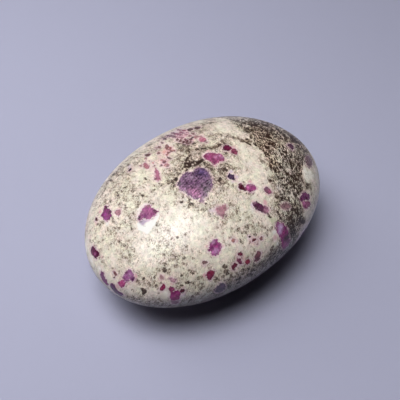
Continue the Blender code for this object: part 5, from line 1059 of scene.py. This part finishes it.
    # The grains between the mica of the band are browner in one part, greyer in the next.
    browner = g.attribute("brown")
    rock = g.blend(g.math("MULTIPLY", in_band, 0.9), rock, g.blend(1.0, rock, g.blend(browner, (0.955, 0.97, 0.985, 1.0), (1.015, 0.95, 0.875, 1.0)), "MULTIPLY"))

    # Painted shade: the albite colour is darkened along the low edge that turns away from the light and the camera.
    rock = g.blend(g.math("MULTIPLY", g.attribute("painted_rim_shade"), 0.9), rock, g.blend(1.0, rock, (0.50, 0.50, 0.55, 1.0), "MULTIPLY"))

    # Halos and dust of ruby in the albite.
    halo_here = g.attribute("halo")
    broken = g.math("MULTIPLY_ADD", g.math("SUBTRACT", g.noise(mm, 2.2, 3.0, 0.6)[0], 0.5), 1.3, halo_here)
    amount = g.math("MULTIPLY", g.span(broken, 0.05, 0.75), g.span(halo_here, 0.02, 0.5))
    rock = g.blend(g.math("MULTIPLY", amount, clear), rock, g.attribute("halo_colour", True))

    # The crystals. Their outline follows the grains around them.
    edge_grain = g.node("ShaderNodeSeparateColor", {"Color": g.cells(loose, 1.9)[1]}).outputs
    uneven = g.math("MULTIPLY_ADD", edge_noise, 1.25, g.math("MULTIPLY", g.math("SUBTRACT", edge_grain[2], 0.5), 0.40))
    uneven = g.math("MULTIPLY_ADD", g.math("SUBTRACT", g.noise(mm, 5.0, 2.0, 0.6)[0], 0.5), 0.55, uneven)
    d = g.math("MULTIPLY_ADD", uneven, g.attribute("gem_ragged"), g.math("SUBTRACT", g.attribute("gem"), 0.045))
    full = g.attribute("gem_full")
    # Ruby stains the albite that it touches, and a thin pale skin parts the two.
    stain = g.math("MULTIPLY", g.span(d, 0.75, 0.0), g.span(g.noise(mm, 1.4, 2.0, 0.6)[0], 0.34, 0.60, 0.10, 0.80))
    rock = g.blend(g.math("MULTIPLY", stain, full), rock, (0.60, 0.38, 0.43, 1.0))
    skin_mark = g.math("MULTIPLY", g.span(d, 0.0, 0.10), g.span(d, 0.36, 0.16))
    skin_mark = g.math("MULTIPLY", skin_mark, g.span(g.noise(mm, 1.2, 2.0, 0.6)[0], 0.44, 0.62, 0.0, 0.62))
    rock = g.blend(g.math("MULTIPLY", skin_mark, full), rock, (0.80, 0.66, 0.70, 1.0))
    soft = g.attribute("gem_soft")
    inside = g.span(d, soft, g.math("MULTIPLY", soft, -1.0))
    mottle = g.attribute("gem_mottle")
    parting = g.cells(g.vector("ADD", mm, g.vector("SCALE", stir, scale=0.5)), 1.6)
    parting_value = g.node("ShaderNodeSeparateColor", {"Color": parting[1]}).outputs
    crumbs = g.node("ShaderNodeSeparateColor", {"Color": g.cells(loose, 3.0)[1]}).outputs
    patch = g.math("MULTIPLY_ADD", g.math("SUBTRACT", g.noise(mm, 2.4, 3.0, 0.70)[0], 0.5), 2.0, g.math("MULTIPLY", g.math("SUBTRACT", parting_value[0], 0.5), 1.25))
    patch = g.math("MULTIPLY_ADD", g.math("SUBTRACT", crumbs[0], 0.5), 0.7, patch)
    # Two sets of parting lines cross on the cut faces.
    waver = g.math("MULTIPLY", g.noise(mm, 0.9, 2.0, 0.6)[0], 9.0)
    for way in (PARTING_A, PARTING_B):
        phase = g.math("MULTIPLY_ADD", g.dot(mm, way), 2.0 * math.pi / 0.62, waver)
        patch = g.math("MULTIPLY_ADD", g.math("SINE", phase), 0.24, patch)
    # Long grain along one set of them.
    combed = g.node("ShaderNodeCombineXYZ", {"X": g.math("MULTIPLY", g.dot(mm, PARTING_A), 3.1), "Y": g.math("MULTIPLY", g.dot(mm, PARTING_LINE), 0.75), "Z": g.math("MULTIPLY", g.dot(mm, CAMERA_LOOKS), 1.2)}).outputs[0]
    patch = g.math("MULTIPLY_ADD", g.math("SUBTRACT", g.noise(combed, 1.0, 2.0, 0.6)[0], 0.5), 4.4, patch)
    patch = g.math("MULTIPLY_ADD", g.math("MULTIPLY", patch, mottle), 0.62, 1.0)
    patch = g.math("MAXIMUM", patch, 0.22)
    gem_colour_here = g.blend(1.0, g.attribute("gem_colour", True), g.node("ShaderNodeCombineColor", {"Red": patch, "Green": patch, "Blue": patch}).outputs[0], "MULTIPLY")
    glint = g.span(g.noise(mm, 3.0, 2.0, 0.6)[0], 0.56, 0.72)
    gem_colour_here = g.blend(g.math("MULTIPLY", glint, g.math("MULTIPLY", mottle, 0.50)), gem_colour_here, (0.50, 0.27, 0.42, 1.0))
    # A thin darker skin just inside the edge, here and there.
    rim = g.math("MULTIPLY", g.span(d, -0.30, -0.06), g.span(g.noise(mm, 1.3, 2.0, 0.6)[0], 0.36, 0.62, 0.0, 0.45))
    gem_colour_here = g.blend(rim, gem_colour_here, (0.045, 0.010, 0.026, 1.0))
    cover = g.math("MULTIPLY", inside, full)
    colour = g.blend(cover, rock, gem_colour_here)
    g.put(g.shader.inputs["Base Color"], colour)

    # Gloss: ruby takes the highest polish, mica the lowest.
    micaness = g.math("MULTIPLY", g.span(dark, 0.40, 0.68), g.math("SUBTRACT", 1.0, cover))
    rough = g.math("MULTIPLY_ADD", micaness, 0.12, 0.33)
    rough = g.math("MULTIPLY_ADD", cover, -0.10, rough)
    rough = g.math("MULTIPLY_ADD", g.math("SUBTRACT", g.noise(mm, 2.0, 3.0, 0.6)[0], 0.5), 0.16, rough)
    g.put(g.shader.inputs["Roughness"], rough)

    height = g.math("MULTIPLY", micaness, -0.030)
    height = g.math("MULTIPLY_ADD", g.math("SUBTRACT", g.noise(mm, 3.2, 3.0, 0.6)[0], 0.5), 0.030, height)
    bump = g.node("ShaderNodeBump", {"Height": height, "Distance": 0.001, "Strength": 0.6})
    g.put(g.shader.inputs["Normal"], bump.outputs[0])

    g.shader.inputs["IOR"].default_value = 1.54
    g.shader.inputs["Coat Weight"].default_value = 0.12
    g.shader.inputs["Coat Roughness"].default_value = 0.20
    return g.material


mesh.materials.append(rock_material())
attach(stone, "root")
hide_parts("stone")

# -------------------------------------------------------------------- stage


def floor_material():
    g = Graph("pale_floor")
    g.shader.inputs["Base Color"].default_value = (0.355, 0.36, 0.475, 1.0)
    g.shader.inputs["Roughness"].default_value = 0.9
    g.shader.inputs["Specular IOR Level"].default_value = 0.1
    return g.material


floor_mesh = bpy.data.meshes.new("floor")
floor_mesh.from_pydata([(-3, -3, 0), (3, -3, 0), (3, 3, 0), (-3, 3, 0)], [], [(0, 1, 2, 3)])
floor_mesh.materials.append(floor_material())
floor = bpy.data.objects.new("floor", floor_mesh)
bpy.context.scene.collection.objects.link(floor)

# A pale studio wall all round, well behind the camera. Only the eye meets it: it neither
# lights nor shades the stone.
wall_mesh = bpy.data.meshes.new("backdrop")
turns = [2.0 * math.pi * k / 96 for k in range(96)]
levels = [0.0, 0.04, 0.10, 0.20, 0.40, 0.80, 1.60]
wall_mesh.from_pydata(
    [(0.55 * math.cos(t), 0.55 * math.sin(t), z) for z in levels for t in turns], [],
    [(96 * n + k, 96 * n + (k + 1) % 96, 96 * (n + 1) + (k + 1) % 96, 96 * (n + 1) + k) for n in range(len(levels) - 1) for k in range(96)],
)
wall_mesh.shade_smooth()
wall = Graph("pale_backdrop")
height = wall.node("ShaderNodeSeparateXYZ", {"Vector": wall.node("ShaderNodeTexCoord").outputs["Object"]}).outputs["Z"]
wall.shader.inputs["Base Color"].default_value = (0.0, 0.0, 0.0, 1.0)
wall.shader.inputs["Roughness"].default_value = 1.0
wall.shader.inputs["Specular IOR Level"].default_value = 0.0
wall.put(wall.shader.inputs["Emission Color"], wall.blend(wall.span(height, 0.0, 0.35), (0.235, 0.240, 0.310, 1.0), (0.34, 0.345, 0.40, 1.0)))
wall.shader.inputs["Emission Strength"].default_value = 1.0
wall_mesh.materials.append(wall.material)
backdrop = bpy.data.objects.new("backdrop", wall_mesh)
bpy.context.scene.collection.objects.link(backdrop)
backdrop.visible_diffuse = False
backdrop.visible_glossy = False
backdrop.visible_transmission = False
backdrop.visible_volume_scatter = False
backdrop.visible_shadow = False

CAMERA_TURN = math.radians(-41.164)  # from "right of the camera" to the row frame's +X


def softbox(name, elevation, azimuth, distance, size, energy, colour=(1.0, 1.0, 1.0)):
    """A round soft light. The azimuth is counted from the camera's right, anticlockwise from above."""
    lamp = bpy.data.lights.new(name, "AREA")
    lamp.shape = "DISK"
    lamp.size = size
    lamp.energy = energy
    lamp.color = colour
    ob = bpy.data.objects.new(name, lamp)
    bpy.context.scene.collection.objects.link(ob)
    e, a = math.radians(elevation), math.radians(azimuth) + CAMERA_TURN
    way = Vector((math.cos(a) * math.cos(e), math.sin(a) * math.cos(e), math.sin(e)))
    ob.location = Vector((0.0, 0.0, 0.012)) + way * distance
    ob.rotation_euler = (-way).to_track_quat("-Z", "Y").to_euler()
    return ob


# These shape the stone and its shadow.
for name, elevation, azimuth, distance, size, energy in [
    ("near_softbox", 70.0, 198.0, 0.32, 0.20, 0.45),
    ("overhead_softbox", 84.0, 215.0, 0.80, 0.42, 2.15),
    ("back_softbox", 84.0, 135.0, 0.80, 0.40, 1.25),
    ("left_softbox", 66.0, 165.0, 0.34, 0.20, 0.22),
    ("side_softbox", 50.0, 150.0, 0.32, 0.20, 0.13),
    ("low_fill", 30.0, 140.0, 0.32, 0.20, 0.12),
]:
    softbox(name, elevation, azimuth, distance, size, energy).visible_glossy = False
# These only show as the broad gloss on the stone.
for name, elevation, azimuth, distance, size, energy in [
    ("gloss_top", 85.0, 235.0, 0.80, 0.36, 1.7),
    ("gloss_middle", 72.0, 226.0, 0.80, 0.34, 0.9),
    ("gloss_front", 57.0, 224.0, 0.80, 0.34, 1.5),
    ("gloss_right", 76.0, 288.0, 0.80, 0.30, 0.50),
    ("gloss_sheen", 38.0, 338.0, 0.80, 0.60, 0.8),
    ("gloss_side", 30.0, 150.0, 0.80, 0.60, 0.8),
]:
    softbox(name, elevation, azimuth, distance, size, energy).visible_diffuse = False

world = bpy.data.worlds.new("studio")
bpy.context.scene.world = world
world.use_nodes = True
world.node_tree.nodes["Background"].inputs["Color"].default_value = (0.80, 0.86, 1.0, 1.0)
world.node_tree.nodes["Background"].inputs["Strength"].default_value = 0.004

lens = bpy.data.cameras.new("camera")
lens.lens = 50.4
lens.sensor_width = 36.0
lens.clip_start = 0.005
lens.clip_end = 20.0
camera = bpy.data.objects.new("camera", lens)
bpy.context.scene.collection.objects.link(camera)
camera.location = Vector(CAMERA_AT * MM)
camera.rotation_euler = Vector(CAMERA_LOOKS).to_track_quat("-Z", "Y").to_euler()
bpy.context.scene.camera = camera

bpy.context.scene.view_settings.view_transform = "Standard"
bpy.context.scene.view_settings.look = "None"
